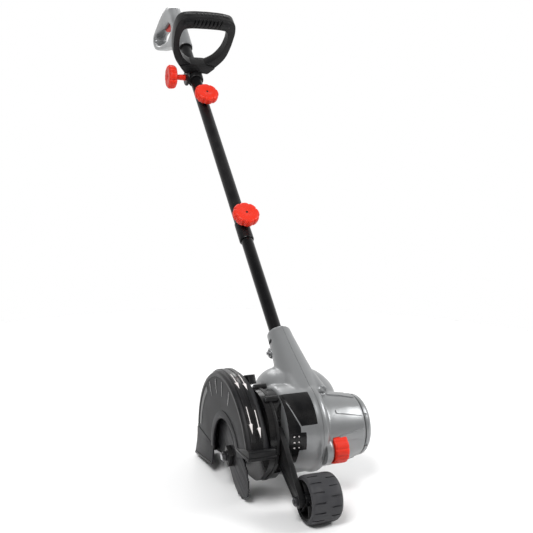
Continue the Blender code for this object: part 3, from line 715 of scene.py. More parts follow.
@dataclass
class Head(Assembly):
    """The moulded head: drum, neck, back and motor barrel, split down the middle, with its cap and plates."""

    drum: tuple[float, float] = (-0.162, -0.170)
    drum_r: float = 0.0815
    left: float = -0.0670
    rim_r: float = 0.0845
    rim_right: float = 0.0160
    barrel: tuple[float, float] = (-0.168, -0.1765)
    barrel_r: float = 0.0695
    barrel_right: float = 0.0960
    cap_right: float = 0.1120
    cap_r: float = 0.0530
    dome: tuple[float, float] = (-0.105, -0.143)
    pivot: tuple[float, float] = (-0.224, -0.197)
    knob_r: float = 0.0272
    knob_left: float = 0.0225
    knob_right: float = 0.0495
    pad_count: int = 9

    def build(self) -> None:
        """Builds and dresses the whole head."""
        self.shells()
        self.pads()
        self.cap()
        self.knob_boss()
        self.plates()
        self.neck_bolt()

    def shells(self) -> None:
        """Makes the two shells from one melted skin, cut along the seam."""
        at = self.datum
        drum = lathe("drum", fillet([
            (0, self.rim_right, 0), (self.rim_r - 0.009, self.rim_right, 0.004),
            (self.rim_r, self.rim_right - 0.007, 0.004), (self.rim_r, -0.003, 0.003),
            (self.drum_r, -0.010, 0.005), (self.drum_r, self.left + 0.004, 0.014),
            (self.drum_r - 0.012, self.left, 0.006), (0, self.left, 0),
        ]), at.side(0, self.drum), 96)
        barrel = lathe("barrel", fillet([
            (0, self.barrel_right, 0), (self.barrel_r - 0.0115, self.barrel_right, 0.002),
            (self.barrel_r - 0.0045, 0.060, 0.012), (self.barrel_r, 0.022, 0.01),
            (self.barrel_r, -0.004, 0), (0, -0.004, 0),
        ]), at.side(0, self.barrel), 96)
        dome = lathe("dome", fillet([
            (0, 0.083, 0), (0.020, 0.083, 0.01), (0.038, 0.075, 0.01), (0.056, 0.056, 0.015),
            (0.068, 0.034, 0.015), (0.073, 0.010, 0.015), (0.073, self.left + 0.026, 0.02),
            (0.055, self.left + 0.001, 0.02), (0, self.left + 0.001, 0),
        ]), at.side(0, self.dome), 96)
        solid = fuse("head_solid", [drum, barrel, dome, self.neck(), *self.neck_flares()], 0.0018, 14)
        bore = lathe("cutter", [(0, 0.02), (0.0136, 0.02), (0.0136, -0.060), (0, -0.060)], at.shaft(0), 48)
        pocket = lathe("cutter", [
            (0, self.knob_right + 0.0009), (self.knob_r + 0.0012, self.knob_right + 0.0009),
            (self.knob_r + 0.0012, self.knob_left - 0.0009), (0, self.knob_left - 0.0009),
        ], at.side(0, self.pivot), 48)
        slot = slab("cutter", [
            arc(0.0042, (0, 0.0075), 0, 180, 10) + arc(0.0042, (0, -0.0075), 180, 180, 10),
        ], 0.02, at.shaft(-0.057, 0.008, -0.019, LEFTWARD), 0)
        carve(solid, bore, pocket, slot)
        for hand, side in (("left", -1), ("right", 1)):
            shell = halve(solid, f"housing_{hand}", at.socket.x + side * 0.0003, side > 0)
            dress(shell, SILVER, "head", f"housing_{hand}_shell")
        bpy.data.objects.remove(solid)

    def neck(self) -> bpy.types.Object:
        """Makes the tapered neck, which widens and leans forward as it goes down."""
        rings = []
        for i in range(15):
            t = i / 14
            along = -0.034 - 0.166 * t
            radius = 0.0240 + 0.0190 * t ** 1.15
            height = 0.009 + 0.017 * t
            lip = 0.0010 * exp(-((along + 0.040) / 0.005) ** 2)
            place = self.datum.shaft(along, height)
            rings.append([place @ Vector((radius * 0.98 * cos(a) + lip * cos(a), (radius + lip) * sin(a), 0))
                          for a in (2 * pi * k / 64 for k in range(64))])
        return skin("neck", rings)

    def neck_flares(self) -> list[bpy.types.Object]:
        """Makes the two raised cheeks beside the neck, which run into the drum."""
        flares = []
        for hand in (-1, 1):
            rings = []
            for i in range(9):
                t = i / 8
                place = self.datum.shaft(-0.085 - 0.11 * t, 0.010 + 0.020 * t, hand * (0.012 + 0.012 * t))
                rings.append([place @ Vector(((0.012 + 0.008 * t) * cos(a), (0.016 + 0.020 * t) * sin(a), 0))
                              for a in (2 * pi * k / 32 for k in range(32))])
            flares.append(skin("flare", rings))
        return flares

    def on_barrel(self, x: float, angle: float, lift: float) -> Vector:
        """Gives a point on the barrel's skin.

        Args:
            x: Across the machine.
            angle: Round the barrel in radians, from the rear.
            lift: Height above the skin.

        Returns:
            The point.
        """
        taper = max(0.0, min(1.0, (x - 0.022) / 0.038))
        end = max(0.0, (x - 0.060) / (self.barrel_right - 0.060))
        radius = self.barrel_r - 0.0045 * taper - 0.0070 * end + lift
        return self.datum.side(x, self.barrel) @ Vector((radius * cos(angle), radius * sin(angle), 0))

    def pads(self) -> None:
        """Makes the long wedge pads round the motor barrel, wide at the cap and narrow at the drum."""
        for i in range(self.pad_count):
            middle = radians(18 + 360 * i / self.pad_count)
            if 195 < (18 + 360 * i / self.pad_count) % 360 < 228:
                continue  # the depth knob is there

            def surface(u: float, v: float, lift: float, middle: float = middle) -> Vector:
                """Gives a point of the wedge."""
                half = 0.045 + 0.150 * u
                return self.on_barrel(0.034 + 0.058 * u, middle + (2 * v - 1) * half, lift)

            dress(pad(f"barrel_pad_{i + 1}", surface, 0.0019, 20, 10), SILVER, "head")

    def cap(self) -> None:
        """Makes the end cap with its cooling slots and screws."""
        at = self.datum.side(0, self.barrel)
        edge = self.barrel_right + 0.0005
        cap = lathe("end_cap", fillet([
            (0, self.cap_right, 0), (self.cap_r - 0.007, self.cap_right, 0.004),
            (self.cap_r, self.cap_right - 0.004, 0.003), (0.0570, self.cap_right - 0.009, 0.002),
            (0.0578, edge + 0.0015, 0.0015), (0.0568, edge, 0.0008), (0.030, edge, 0), (0, edge, 0),
        ]), at, 96)
        slots = []
        for i in range(8):
            turn = Matrix.Rotation(2 * pi * i / 8, 4, "Z")
            for reach, half in ((0.018, 0.0045), (0.028, 0.006), (0.038, 0.0065)):
                outline = arc(0.0013, (reach, half), 0, 180, 6) + arc(0.0013, (reach, -half), 180, 180, 6)
                slots.append(slab("cutter", [outline], 0.006, at @ turn @ Matrix.Translation((0, 0,
                    self.cap_right - 0.004)), 0))
        notches = [box(Vector((0.0, -0.0022, 0)), Vector((0.004, 0.0022, 0.006))) for _ in range(6)]
        for i, notch in enumerate(notches):
            turn = Matrix.Rotation(2 * pi * (i + 0.42) / 6, 4, "Z")
            notch.data.transform(at @ turn @ Matrix.Translation((0.0555, 0, edge - 0.001)))
        carve(cap, self.joined("cutter", slots), self.joined("cutter", notches))
        dress(cap, SILVER, "head", "motor_end_cap")
        for i in range(4):
            angle = 2 * pi * (i + 0.5) / 4
            place = at @ Matrix.Translation(
                (0.0465 * cos(angle), 0.0465 * sin(angle), self.cap_right - 0.0045))
            screw = lathe(f"cap_screw_{i + 1}", fillet([
                (0, 0.0032, 0), (0.0014, 0.0032, 0), (0.0014, 0.0042, 0), (0.0032, 0.0042, 0.001),
                (0.0036, 0, 0), (0, 0, 0),
            ]), place, 24)
            dress(screw, ZINC, "head")

    @staticmethod
    def joined(name: str, pieces: Sequence[bpy.types.Object]) -> bpy.types.Object:
        """Joins separate solids into one object, and uses them up."""
        shape = bmesh.new()
        for piece in pieces:
            shape.from_mesh(piece.data)
            bpy.data.objects.remove(piece)
        return new_piece(name, shape)

    def knob_boss(self) -> None:
        """Makes the smooth boss at the front of the rim, which the depth knob's shaft runs through."""
        at = self.datum.side(0, self.pivot)
        boss = lathe("knob_boss", fillet([
            (0.0050, 0.0212, 0), (0.0225, 0.0212, 0.003), (0.0262, 0.0160, 0.006), (0.0262, 0.0060, 0),
            (0.0050, 0.0060, 0),
        ]), at, 64)
        keeper = lathe("cutter", [(0, 0.03), (0.1100, 0.03), (0.1100, -0.01), (0, -0.01)],
                       self.datum.side(0, (self.drum[0] + 0.015, self.drum[1])), 64)
        dress(carve(boss, keeper, keep="INTERSECT"), SILVER, "head")

    def on_drum(self, x: float, angle: float, lift: float) -> Vector:
        """Gives a point of the drum's skin at an X, degrees from the rear and a height above it."""
        radius = self.drum_r + lift
        turn = radians(angle)
        return self.datum.side(x, self.drum) @ Vector((radius * cos(turn), radius * sin(turn), 0))

    def plates(self) -> None:
        """Makes the blank black plate, and the depth scale with three dots and pointers."""

        def front(u: float, v: float, lift: float) -> Vector:
            """Gives a point of the plate, whose left edge slants."""
            left = -0.0640 + 0.0230 * v ** 1.4
            right = -0.0075
            return self.on_drum(left + (right - left) * u, 112 + 49 * v, lift)

        def scale(u: float, v: float, lift: float) -> Vector:
            """Gives a point of the depth scale."""
            return self.on_drum(-0.0640 + 0.0330 * u, 167 + 24 * v, lift)

        def cover(u: float, v: float, lift: float) -> Vector:
            """Gives a point of the black cover at the drum's left, which ends at the plate's slanted edge."""
            right = -0.0640 + 0.0230 * min(1.0, v / 0.5) ** 1.4 - 0.0170 * max(0.0, v - 0.55)
            return self.on_drum(-0.0655 + (right + 0.0655) * u, 112 + 98 * v, lift)

        plate = 0.0006  # thickness of both plates
        dress(pad("drum_cover", cover, 0.0004, 12, 48, 0.001), GLOSS_BLACK_AND_SLOT_SHADE, "head")
        dress(pad("front_plate", front, plate, 20, 32, 0.001), GLOSS_BLACK_AND_SLOT_SHADE, "head")
        dress(pad("depth_scale", scale, plate, 14, 20, 0.001), GLOSS_BLACK_AND_SLOT_SHADE, "head")
        per_metre = 700.0  # degrees of the drum to a metre of its skin
        for i in range(3):
            angle = 172.0 + 7.0 * i

            def dot(u: float, v: float, lift: float, angle: float = angle) -> Vector:
                """Gives a point of a round dot."""
                reach, turn = 0.0013 * sqrt(u) if u else 0.0, 2 * pi * v
                return self.on_drum(-0.0475 + reach * cos(turn), angle + per_metre * reach * sin(turn),
                                    plate + lift)

            def pointer(u: float, v: float, lift: float, angle: float = angle) -> Vector:
                """Gives a point of a small arrowhead that points left."""
                return self.on_drum(-0.0590 + 0.0045 * u, angle + 1.5 * (2 * v - 1) * u, plate + lift)

            dress(pad(f"scale_dot_{i + 1}", dot, 0.00025, 4, 16, 0.0002), WHITE_PRINT, "head")
            dress(pad(f"scale_pointer_{i + 1}", pointer, 0.00025, 4, 6, 0.0002), WHITE_PRINT, "head")

    def neck_bolt(self) -> None:
        """Makes the cross bolt's head and nut at the sides of the neck, each in a raised ring."""
        for hand, name in ((-1, "left"), (1, "right")):
            rotation = LEFTWARD if hand < 0 else axes((1, 0, 0), TUBE_DIR)
            at = self.datum.shaft(-0.075, 0, 0, rotation)
            ring = lathe(f"bolt_ring_{name}", fillet([
                (0.0062, 0.0285, 0), (0.0095, 0.0285, 0.001), (0.0115, 0.0240, 0.002), (0.0120, 0.0150, 0),
                (0.0062, 0.0150, 0),
            ]), at, 40)
            dress(ring, SILVER, "head")
            if hand < 0:
                nut = slab("neck_nut", [arc(0.0058, steps=6)], 0.0050,
                           at @ Matrix.Translation((0, 0, 0.0262)), 0.0006)
                stub = lathe("neck_bolt_end", fillet([
                    (0, 0.0345, 0), (0.0028, 0.0345, 0.0008), (0.0028, 0.0240, 0), (0, 0.0240, 0),
                ]), at, 24)
                dress(nut, ZINC, "head")
                dress(stub, ZINC, "head", "socket_bolt")
            else:
                top = lathe("neck_bolt_head", fillet([
                    (0, 0.0295, 0), (0.0024, 0.0295, 0), (0.0024, 0.0315, 0), (0.0050, 0.0315, 0.001),
                    (0.0056, 0.0255, 0.001), (0, 0.0255, 0)]), at, 32)
                dress(top, ZINC, "head")


@dataclass
class GearCase(Assembly):
    """The black case between the drum and the guard."""

    left: float = -0.0997
    right: float = -0.0673
    drum: tuple[float, float] = (-0.162, -0.170)
    blade: tuple[float, float] = (-0.129, -0.221)

    def build(self) -> None:
        """Builds the case, its rib and its screws."""
        at = self.datum
        outline = belt([(self.drum, 0.0780), (self.blade, 0.0430), ((-0.152, -0.203), 0.0590)])
        case = slab("gear_housing", [outline], self.right - self.left, at.side(self.left), 0.0050, 5)
        room = box(at.head(-0.0812, -0.300, -0.300), at.head(-0.060, -0.2070, -0.050))
        dress(carve(case, room), GLOSS_BLACK_AND_SLOT_SHADE, "head", "gear_case")
        flange = [belt([(self.drum, 0.0792), (self.blade, 0.0442), ((-0.152, -0.203), 0.0602)])]
        rib = slab("gear_flange", flange, 0.0050, at.side(-0.0880), 0.0012)
        room = box(at.head(-0.0812, -0.300, -0.300), at.head(-0.060, -0.2070, -0.050))
        dress(carve(rib, room), BLACK, "head")
        for i, angle in enumerate((35, 75, 118)):
            spot = (self.drum[0] + 0.0800 * cos(radians(angle)), self.drum[1] + 0.0800 * sin(radians(angle)))
            lug = lathe(f"case_lug_{i + 1}", fillet([
                (0, -0.0700, 0), (0.0058, -0.0700, 0.001), (0.0058, -0.0940, 0.001), (0, -0.0940, 0),
            ]), at.side(0, spot), 28)
            dress(lug, BLACK, "head")
            screw = lathe(f"case_screw_{i + 1}", fillet([
                (0, -0.0925, 0), (0.0015, -0.0925, 0), (0.0015, -0.0940, 0), (0.0038, -0.0960, 0.0012),
                (0.0040, -0.0935, 0), (0.0, -0.0915, 0)][::-1]), at.side(0, spot), 24)
            dress(screw, BLUED, "head")
        hanger = slab("guard_hanger", [fillet([
            (-0.131, -0.088, 0.002), (-0.121, -0.073, 0.003), (-0.098, -0.080, 0.003),
            (-0.098, -0.100, 0.002),
        ], True)], 0.014, at.side(-0.0985), 0.0012)
        dress(hanger, BLACK, "head")


# ---- guard and blade ---------------------------------------------------------------------------------------

@dataclass
class Guard(Assembly):
    """The half-round guard, its ribs, slots, feet and printed arrows."""

    left: float = -0.1460
    right: float = -0.1000
    radius: float = 0.1550
    centre: tuple[float, float] = (-0.106, -0.223)
    arch_centre: tuple[float, float] = (-0.129, -0.221)
    arch_r: float = 0.0700
    sweep: float = 165.0
    rear_foot: float = -0.2640
    lip: float = -0.2800
    stations: int = 84

    def build(self) -> None:
        """Builds and dresses the guard."""
        dress(self.shell(), GUARD_GREY, "head", "blade_guard")
        self.crest()
        self.arch_band()
        self.face_slots()
        self.feet()
        self.arrows()

    def spot(self, angle: float, depth: float, x: float) -> Vector:
        """Gives a point at an angle in degrees, a depth below the crest circle, and an X."""
        radius = self.radius - depth
        y = self.centre[0] + radius * cos(radians(angle))
        z = self.centre[1] + radius * sin(radians(angle))
        return self.datum.head(x, y, z)

    def arch_depth(self, angle: float) -> float:
        """Gives how far below the crest the arch's edge lies, seen from the guard's centre."""
        way = Vector((cos(radians(angle)), sin(radians(angle))))
        offset = Vector(self.arch_centre) - Vector(self.centre)
        along = offset.dot(way)
        return self.radius - (along + sqrt(max(0.0, along ** 2 - offset.length_squared + self.arch_r ** 2)))

    def shell(self) -> bpy.types.Object:
        """Makes the guard's wall: a face plate, a crest with rounded shoulders, and a back plate."""
        wall, arch_end = 0.0030, 150.0
        rings = []
        for i in range(self.stations + 1):
            angle = -6.0 + (self.sweep + 6.0) * i / self.stations
            face = self.arch_depth(min(angle, arch_end))
            bore = self.radius - 0.030
            corners = fillet([
                (face, self.left, 0.001), (0.0040, self.left, 0.0040), (0.0, self.left + 0.0090, 0.006),
                (0.0, self.right - 0.0120, 0.008), (0.0130, self.right, 0.0080), (bore, self.right, 0),
                (bore, self.right - wall, 0), (0.0140, self.right - wall, 0.006),
                (wall, self.right - 0.0135, 0.006), (wall, self.left + 0.0085, 0.005),
                (0.0060, self.left + wall, 0.003), (face, self.left + wall, 0.001),
            ], True, 4)
            rings.append([self.spot(angle, depth, x) for depth, x in corners])
        return skin("guard_shell", rings, sharp=32)

    def crest(self) -> None:
        """Makes the black band over the crest with its two long raised ribs."""

        def band(u: float, v: float, lift: float) -> Vector:
            """Gives a point of the band over the crest."""
            return self.spot(24 + 139 * u, -lift, self.left + 0.0065 + 0.0250 * v)

        dress(pad("guard_band", band, 0.0007, 90, 10, 0.001), GLOSS_BLACK_AND_SLOT_SHADE, "head")
        for i, x in enumerate((-0.1335, -0.1200)):

            def rib(u: float, v: float, lift: float, x: float = x) -> Vector:
                """Gives a point of a rib."""
                return self.spot(40 + 116 * u, -lift, x - 0.0045 + 0.0090 * v)

            dress(pad(f"guard_rib_{i + 1}", rib, 0.0019, 80, 8, 0.001), BLACK, "head")

        def rim(u: float, v: float, lift: float) -> Vector:
            """Gives a point of the rim at the face's outer edge."""
            return self.spot(4 + 158 * u, 0.0035 + 0.0085 * v, self.left - lift)

        dress(pad("guard_rim", rim, 0.0009, 90, 5, 0.001), BLACK, "head")

    def arch_band(self) -> None:
        """Makes the raised band that follows the arch."""
        outline = (arc(0.0835, self.arch_centre, -4, 158, 48)
                   + arc(self.arch_r - 0.0002, self.arch_centre, -4, 158, 48)[::-1])
        band = slab("arch_band", [outline], 0.0024, self.datum.side(self.left - 0.0012), 0.0008)
        dress(band, GUARD_GREY, "head")

    def face_slots(self) -> None:
        """Makes the four slots near the top of the face as glossy black slabs that paint the shade inside the
        openings, and the blank black panel behind them.
        """
        for i, angle in enumerate((60, 77, 93, 111)):
            way = Matrix.Rotation(radians(angle), 4, "Z")
            outline = arc(0.0048, (0.1350, 0), -90, 180, 8) + arc(0.0024, (0.1130, 0), 90, 180, 8)
            at = self.datum.side(self.left - 0.0004, self.centre) @ way
            # each slot is a thin black slab laid on the face, not a cut: its black is painted shade for the
            # opening
            dress(slab(f"face_slot_{i + 1}", [outline], 0.0012, at, 0.0004), GLOSS_BLACK_AND_SLOT_SHADE, "head")

        def panel(u: float, v: float, lift: float) -> Vector:
            """Gives a point of the panel."""
            return self.spot(6 + 46 * u, 0.0145 + 0.0135 * v, self.left - lift)

        dress(pad("face_panel", panel, 0.0006, 30, 8, 0.001), GLOSS_BLACK_AND_SLOT_SHADE, "head")

    def feet(self) -> None:
        """Makes the flared rear foot with its lip, and the ledge round the front foot."""
        y, z = self.centre
        back = y + self.radius
        inner = self.arch_centre[0] + self.arch_r
        at = self.datum.side
        outline = fillet([
            (inner + 0.010, self.rear_foot, 0.001), (inner, -0.2230, 0.01), (back - 0.0005, -0.2150, 0.006),
            (back + 0.002, -0.2450, 0.01), (back + 0.0150, self.lip + 0.006, 0.003),
            (back + 0.0160, self.lip, 0.001)], True)
        for side, x in (("left", self.left - 0.0009), ("right", self.right - 0.0021)):
            dress(slab(f"rear_foot_{side}", [outline], 0.0030, at(x), 0.0009), GUARD_GREY, "head")
        wall = fillet([
            (back - 0.0030, -0.2110, 0.001), (back - 0.0004, -0.2110, 0.001), (back + 0.0018, -0.2450, 0.01),
            (back + 0.0148, self.lip + 0.006, 0.003), (back + 0.0158, self.lip, 0.001),
            (back + 0.0125, self.lip, 0.001), (back - 0.0010, -0.2450, 0.01)], True)
        dress(slab("rear_foot_wall", [wall], self.right - self.left - 0.0010, at(self.left + 0.0005), 0.0008),
              GUARD_GREY, "head")
        lip = slab("rear_lip", [fillet([
            (inner + 0.009, self.rear_foot - 0.0005, 0.0005), (inner + 0.009, self.rear_foot + 0.0030, 0.001),
            (back + 0.0155, self.lip + 0.0045, 0.001), (back + 0.0163, self.lip - 0.0002, 0.0005)], True)],
            0.0022, at(self.left - 0.0018), 0.0007)
        dress(lip, BLACK, "head")
        front = y + self.radius * cos(radians(self.sweep))
        low = z + self.radius * sin(radians(self.sweep))
        ledge = fillet([(front - 0.0030, low + 0.0145, 0.002), (front - 0.0050, low + 0.0120, 0.002),
                        (front - 0.0050, low - 0.0020, 0.001), (front + 0.0570, low - 0.0020, 0.001),
                        (front + 0.0570, low + 0.0010, 0.001), (front + 0.0100, low + 0.0145, 0.004)], True)
        piece = slab("front_ledge", [ledge], self.right - self.left + 0.0030, at(self.left - 0.0015), 0.0012)
        hollow = box(self.datum.head(self.left + 0.003, front + 0.0030, low - 0.01),
                     self.datum.head(self.right - 0.003, front + 0.06, low + 0.02))
        dress(carve(piece, hollow), BLACK, "head")
        step = fillet([(front - 0.0068, low + 0.0030, 0.001), (front - 0.0068, low - 0.0024, 0.001),
                       (front + 0.0575, low - 0.0024, 0.001), (front + 0.0575, low + 0.0006, 0.001),
                       (front + 0.0020, low + 0.0030, 0.001)], True)
        piece = slab("front_step", [step], self.right - self.left + 0.0060, at(self.left - 0.0030), 0.0010)
        hollow = box(self.datum.head(self.left + 0.003, front + 0.0030, low - 0.01),
                     self.datum.head(self.right - 0.003, front + 0.06, low + 0.02))
        dress(carve(piece, hollow), BLACK, "head")

    def arrows(self) -> None:
        """Prints the two lines of arrows on the ribs, which show the way the blade turns."""
        length, head, stem = 19.0, 6.5, 0.0010
        for column, x in enumerate((-0.1335, -0.1200)):
            for row, start in enumerate((97.0 + 2 * column, 131.0 + 3 * column)):

                def arrow(u: float, v: float, lift: float, x: float = x, start: float = start) -> Vector:
                    """Gives a point of an arrow that runs down the rib."""
                    neck = 1 - head / length
                    half = stem if u < neck else 0.0038 * (1 - (u - neck) / (1 - neck)) + 0.0001
                    return self.spot(start + length * u, -0.0019 - lift, x + half * (2 * v - 1))

                dress(pad(f"arrow_{column + 1}_{row + 1}", arrow, 0.0003, 38, 4, 0.0003), WHITE_PRINT, "head")


@dataclass
class BladeDrive(Assembly):
    """The blade and what clamps it."""

    axis: tuple[float, float] = (-0.129, -0.221)
    x: float = -0.1335
    thick: float = 0.0030
    angle: float = 205.0
    block: float = 0.0140

    def build(self) -> None:
        """Builds and dresses the blade, the clamp block and the nut."""
        spin = Matrix.Rotation(radians(self.angle), 4, "Z")
        at = self.datum.side(self.x, self.axis) @ spin
        half: list[tuple[float, float]] = [(0, -0.0300), (0.012, -0.034), (0.030, -0.039), (0.060, -0.0395)]
        half += (self.teeth((0.0635, -0.0335), (0.0760, -0.0310), 2)
                 + self.teeth((0.0800, -0.0225), (0.0890, -0.0190), 2))
        half += (self.teeth((0.0925, -0.0100), (0.0945, 0.0), 2)
                 + self.teeth((0.0945, 0.0), (0.0925, 0.0100), 2))
        half += (self.teeth((0.0890, 0.0190), (0.0800, 0.0225), 2)
                 + self.teeth((0.0760, 0.0310), (0.0635, 0.0335), 2))
        half += [(0.060, 0.0395), (0.030, 0.039), (0.012, 0.034)]
        outline = half + [(-x, -y) for x, y in half]
        blade = slab("edging_blade", [outline, arc(0.0063)], self.thick, at, 0.0008)
        dress(blade, DARK_STEEL, "blade_drive", "blade")
        size = self.block
        corners = fillet([(size, -size, 0.002), (size, size, 0.002), (-size, size, 0.002),
                          (-size, -size, 0.002)], True)
        clamp = slab("clamp_block", [corners, arc(0.0062)], 0.0088,
                     at @ Matrix.Translation((0, 0, -0.0093)), 0.0010)
        dress(clamp, BLACK, "blade_drive", "blade_outer_flange")
        boss = lathe("clamp_washer", fillet([(0.0062, -0.0095, 0), (0.0112, -0.0095, 0.0006),
                                             (0.0112, -0.0108, 0.0004), (0.0062, -0.0108, 0)]), at, 40)
        dress(boss, BLUED, "blade_drive")
        nut = slab("blade_lock_nut", [arc(0.0098, steps=6), arc(0.0062)], 0.0062,
                   at @ Matrix.Translation((0, 0, -0.0171)), 0.0009)
        dress(nut, BLUED, "blade_drive", "blade_nut")
        end = lathe("shaft_end", fillet([(0, -0.0093, 0), (0.0060, -0.0093, 0), (0.0060, -0.0185, 0.0008),
                                         (0.0052, -0.0195, 0.0005), (0, -0.0195, 0)]), at, 32)
        dress(end, BLUED, "blade_drive")

    def teeth(self, start: tuple[float, float], end: tuple[float, float],
              count: int) -> list[tuple[float, float]]:
        """Gives a stretch of edge with small saw teeth."""
        one, two = Vector(start), Vector(end)
        out = Vector((two.y - one.y, one.x - two.x)).normalized() * 0.0034
        points = []
        for i in range(count):
            points.append(tuple(one.lerp(two, i / count)))
            points.append(tuple(one.lerp(two, (i + 0.35) / count) + out))
        return points + [end]


# ---- wheels ------------------------------------------------------------------------------------------------

@dataclass
class Wheel(Assembly):
    """A moulded hub in a tyre with two rows of staggered tread grooves."""

    name: str
    body: str
    left: float
    right: float
    radius: float
    axis: tuple[float, float]
    grooves: int = 15
    tyre_depth: float = 0.0070

    def build(self) -> None:
        """Builds and dresses the hub and the tyre."""
        at = self.datum.side(0, self.axis)
        self.tyre(at)
        self.hub(at)

    def tyre(self, at: Matrix) -> None:
        """Makes the tyre with its tread cut in."""
        low, high, outer = self.left, self.right, self.radius
        inner = outer - self.tyre_depth
        ring = lathe(f"{self.name}_tread", fillet([
            (inner, high, 0.0005), (outer - 0.0065, high, 0.003), (outer - 0.0012, high - 0.0045, 0.004),
            (outer, high - 0.0110, 0.006), (outer, low + 0.0080, 0.005),
            (outer - 0.0012, low + 0.0022, 0.002), (outer - 0.0040, low, 0.0015), (inner, low, 0.0005),
        ]), at, 120)
        width = high - low
        cutters = []
        for i in range(self.grooves):
            for offset, start, end in ((0.0, -0.004, 0.40 * width), (0.5, 0.60 * width, width + 0.004)):
                turn = Matrix.Rotation(2 * pi * (i + offset) / self.grooves, 4, "Z")
                bar = box(Vector((outer - 0.0017, -0.0013, low + start)),
                          Vector((outer + 0.004, 0.0013, low + end)))
                bar.data.transform(at @ turn)
                cutters.append(bar)
        dress(carve(ring, Head.joined("cutter", cutters), sharp=30), RUBBER, self.body, f"{self.name}_tyre")

    def hub(self, at: Matrix) -> None:
        """Makes the hub: a rim, a web with six spokes, and a bearing boss."""
        low, high = self.left, self.right
        hub_r = self.radius - self.tyre_depth - 0.0003
        hub = lathe(f"{self.name}_wheel", fillet([
            (0.0043, high - 0.002, 0), (0.010, high - 0.002, 0.001), (0.0105, high - 0.012, 0.001),
            (hub_r - 0.003, high - 0.012, 0.002), (hub_r - 0.0028, high - 0.002, 0.0006),
            (hub_r, high - 0.002, 0.0006), (hub_r, low + 0.002, 0.0006),
            (hub_r - 0.0028, low + 0.002, 0.0006), (hub_r - 0.003, high - 0.015, 0.002),
            (0.0110, high - 0.015, 0.002), (0.0100, low + 0.001, 0.001), (0.0043, low + 0.001, 0),
        ]), at, 72)
        dress(hub, BLACK, self.body, f"{self.name}_wheel_hub")
        for i in range(6):
            turn = at @ Matrix.Rotation(2 * pi * i / 6, 4, "Z")
            spoke = slab(f"{self.name}_spoke_{i + 1}", [fillet([
                (0.0095, low + 0.006, 0), (hub_r - 0.0025, low + 0.0035, 0),
                (hub_r - 0.0025, high - 0.0145, 0), (0.0095, high - 0.0145, 0),
            ], True)], 0.0024, turn @ axes((0, 1, 0), (1, 0, 0)) @ Matrix.Diagonal((1, -1, 1, 1))
                         @ Matrix.Translation((0, 0, -0.0012)), 0.0005)
            dress(spoke, BLACK, self.body)


@dataclass
class GuideWheel(Assembly):
    """The swinging arm with its wheel, and the red knob that sets its depth."""

    pivot: tuple[float, float] = (-0.224, -0.197)
    top: tuple[float, float] = (-0.222, -0.155)
    axle: tuple[float, float] = (-0.312, -0.244)
    left: float = -0.0793
    right: float = -0.0713
    knob_r: float = 0.0272
    knob_left: float = 0.0225
    knob_right: float = 0.0495

    def build(self) -> None:
        """Builds the arm, the wheel and the knob."""
        self.arm()
        self.axle_bolt()
        self.knob()
        Wheel(self.datum, "front", "front_wheel", -0.0694, -0.0120, 0.0412, self.axle).build()

    def arm(self) -> None:
        """Makes the arm with a raised border and bosses at its ends."""
        circles = [(self.pivot, 0.0100), (self.top, 0.0100), (self.axle, 0.0115)]
        plate = slab("depth_arm_plate", [belt(circles), arc(0.0043, self.pivot), arc(0.0043, self.axle)],
                     self.right - self.left, self.datum.side(self.left), 0.0016, 3)
        dress(plate, BLACK, "depth_arm", "wheel_arm")
        inner = [(self.pivot, 0.0072), (self.top, 0.0072), (self.axle, 0.0086)]
        border = slab("depth_arm_border", [belt(circles), belt(inner)], 0.0016,
                      self.datum.side(self.left - 0.0012), 0.0006)
        dress(border, BLACK, "depth_arm")
        boss = lathe("axle_boss", fillet([(0.0043, -0.0703, 0), (0.0095, -0.0703, 0.0006),
                                          (0.0102, -0.0720, 0), (0.0043, -0.0720, 0)]),
                     self.datum.side(0, self.axle), 40)
        dress(boss, BLACK, "depth_arm")

    def axle_bolt(self) -> None:
        """Makes the axle, its lock nut and a washer."""
        at = self.datum.side(0, self.axle)
        bolt = lathe("guide_axle", fillet([
            (0, -0.0885, 0), (0.0032, -0.0885, 0.0008), (0.0040, -0.0875, 0.0003), (0.0040, -0.0100, 0),
            (0.0072, -0.0100, 0.0005), (0.0072, -0.0050, 0.0012), (0, -0.0050, 0)][::-1]), at, 32)
        dress(bolt, BLUED, "depth_arm", "front_axle_bolt")
        washer = lathe("guide_washer", fillet([
            (0.0043, -0.0797, 0), (0.0098, -0.0797, 0.0003), (0.0098, -0.0809, 0.0003), (0.0043, -0.0809, 0),
        ]), at, 40)
        dress(washer, BLUED, "depth_arm")
        nut = slab("guide_nut", [arc(0.0082, steps=6), arc(0.0043)], 0.0052,
                   self.datum.side(-0.0862, self.axle), 0.0009)
        dress(nut, BLUED, "depth_arm", "front_axle_nut")

    def knob(self) -> None:
        """Makes the broad red knob with finger grooves, on its shaft."""
        at = self.datum.side(0, self.pivot)
        low, high, radius = self.knob_left, self.knob_right, self.knob_r
        rings = []
        profile = fillet([(radius - 0.0040, high, 0), (radius - 0.0012, high, 0.0012),
                          (radius, high - 0.0030, 0.002), (radius, low + 0.0030, 0.002),
                          (radius - 0.0015, low, 0.0012), (radius - 0.0050, low, 0)])
        for reach, height in [(0.001, high - 0.0018), (radius - 0.0060, high - 0.0018), *profile,
                              (0.001, low)]:
            ring = []
            for k in range(180):
                angle = 2 * pi * k / 180
                groove = exp(-((((k % 15) - 7.5) / 2.1) ** 2)) if reach > radius - 0.003 else 0.0
                r = reach - 0.0012 * groove
                ring.append(at @ Vector((r * cos(angle), r * sin(angle), height)))
            rings.append(ring)
        dress(skin("depth_dial", rings, sharp=35), RED, "depth_arm", "depth_knob")


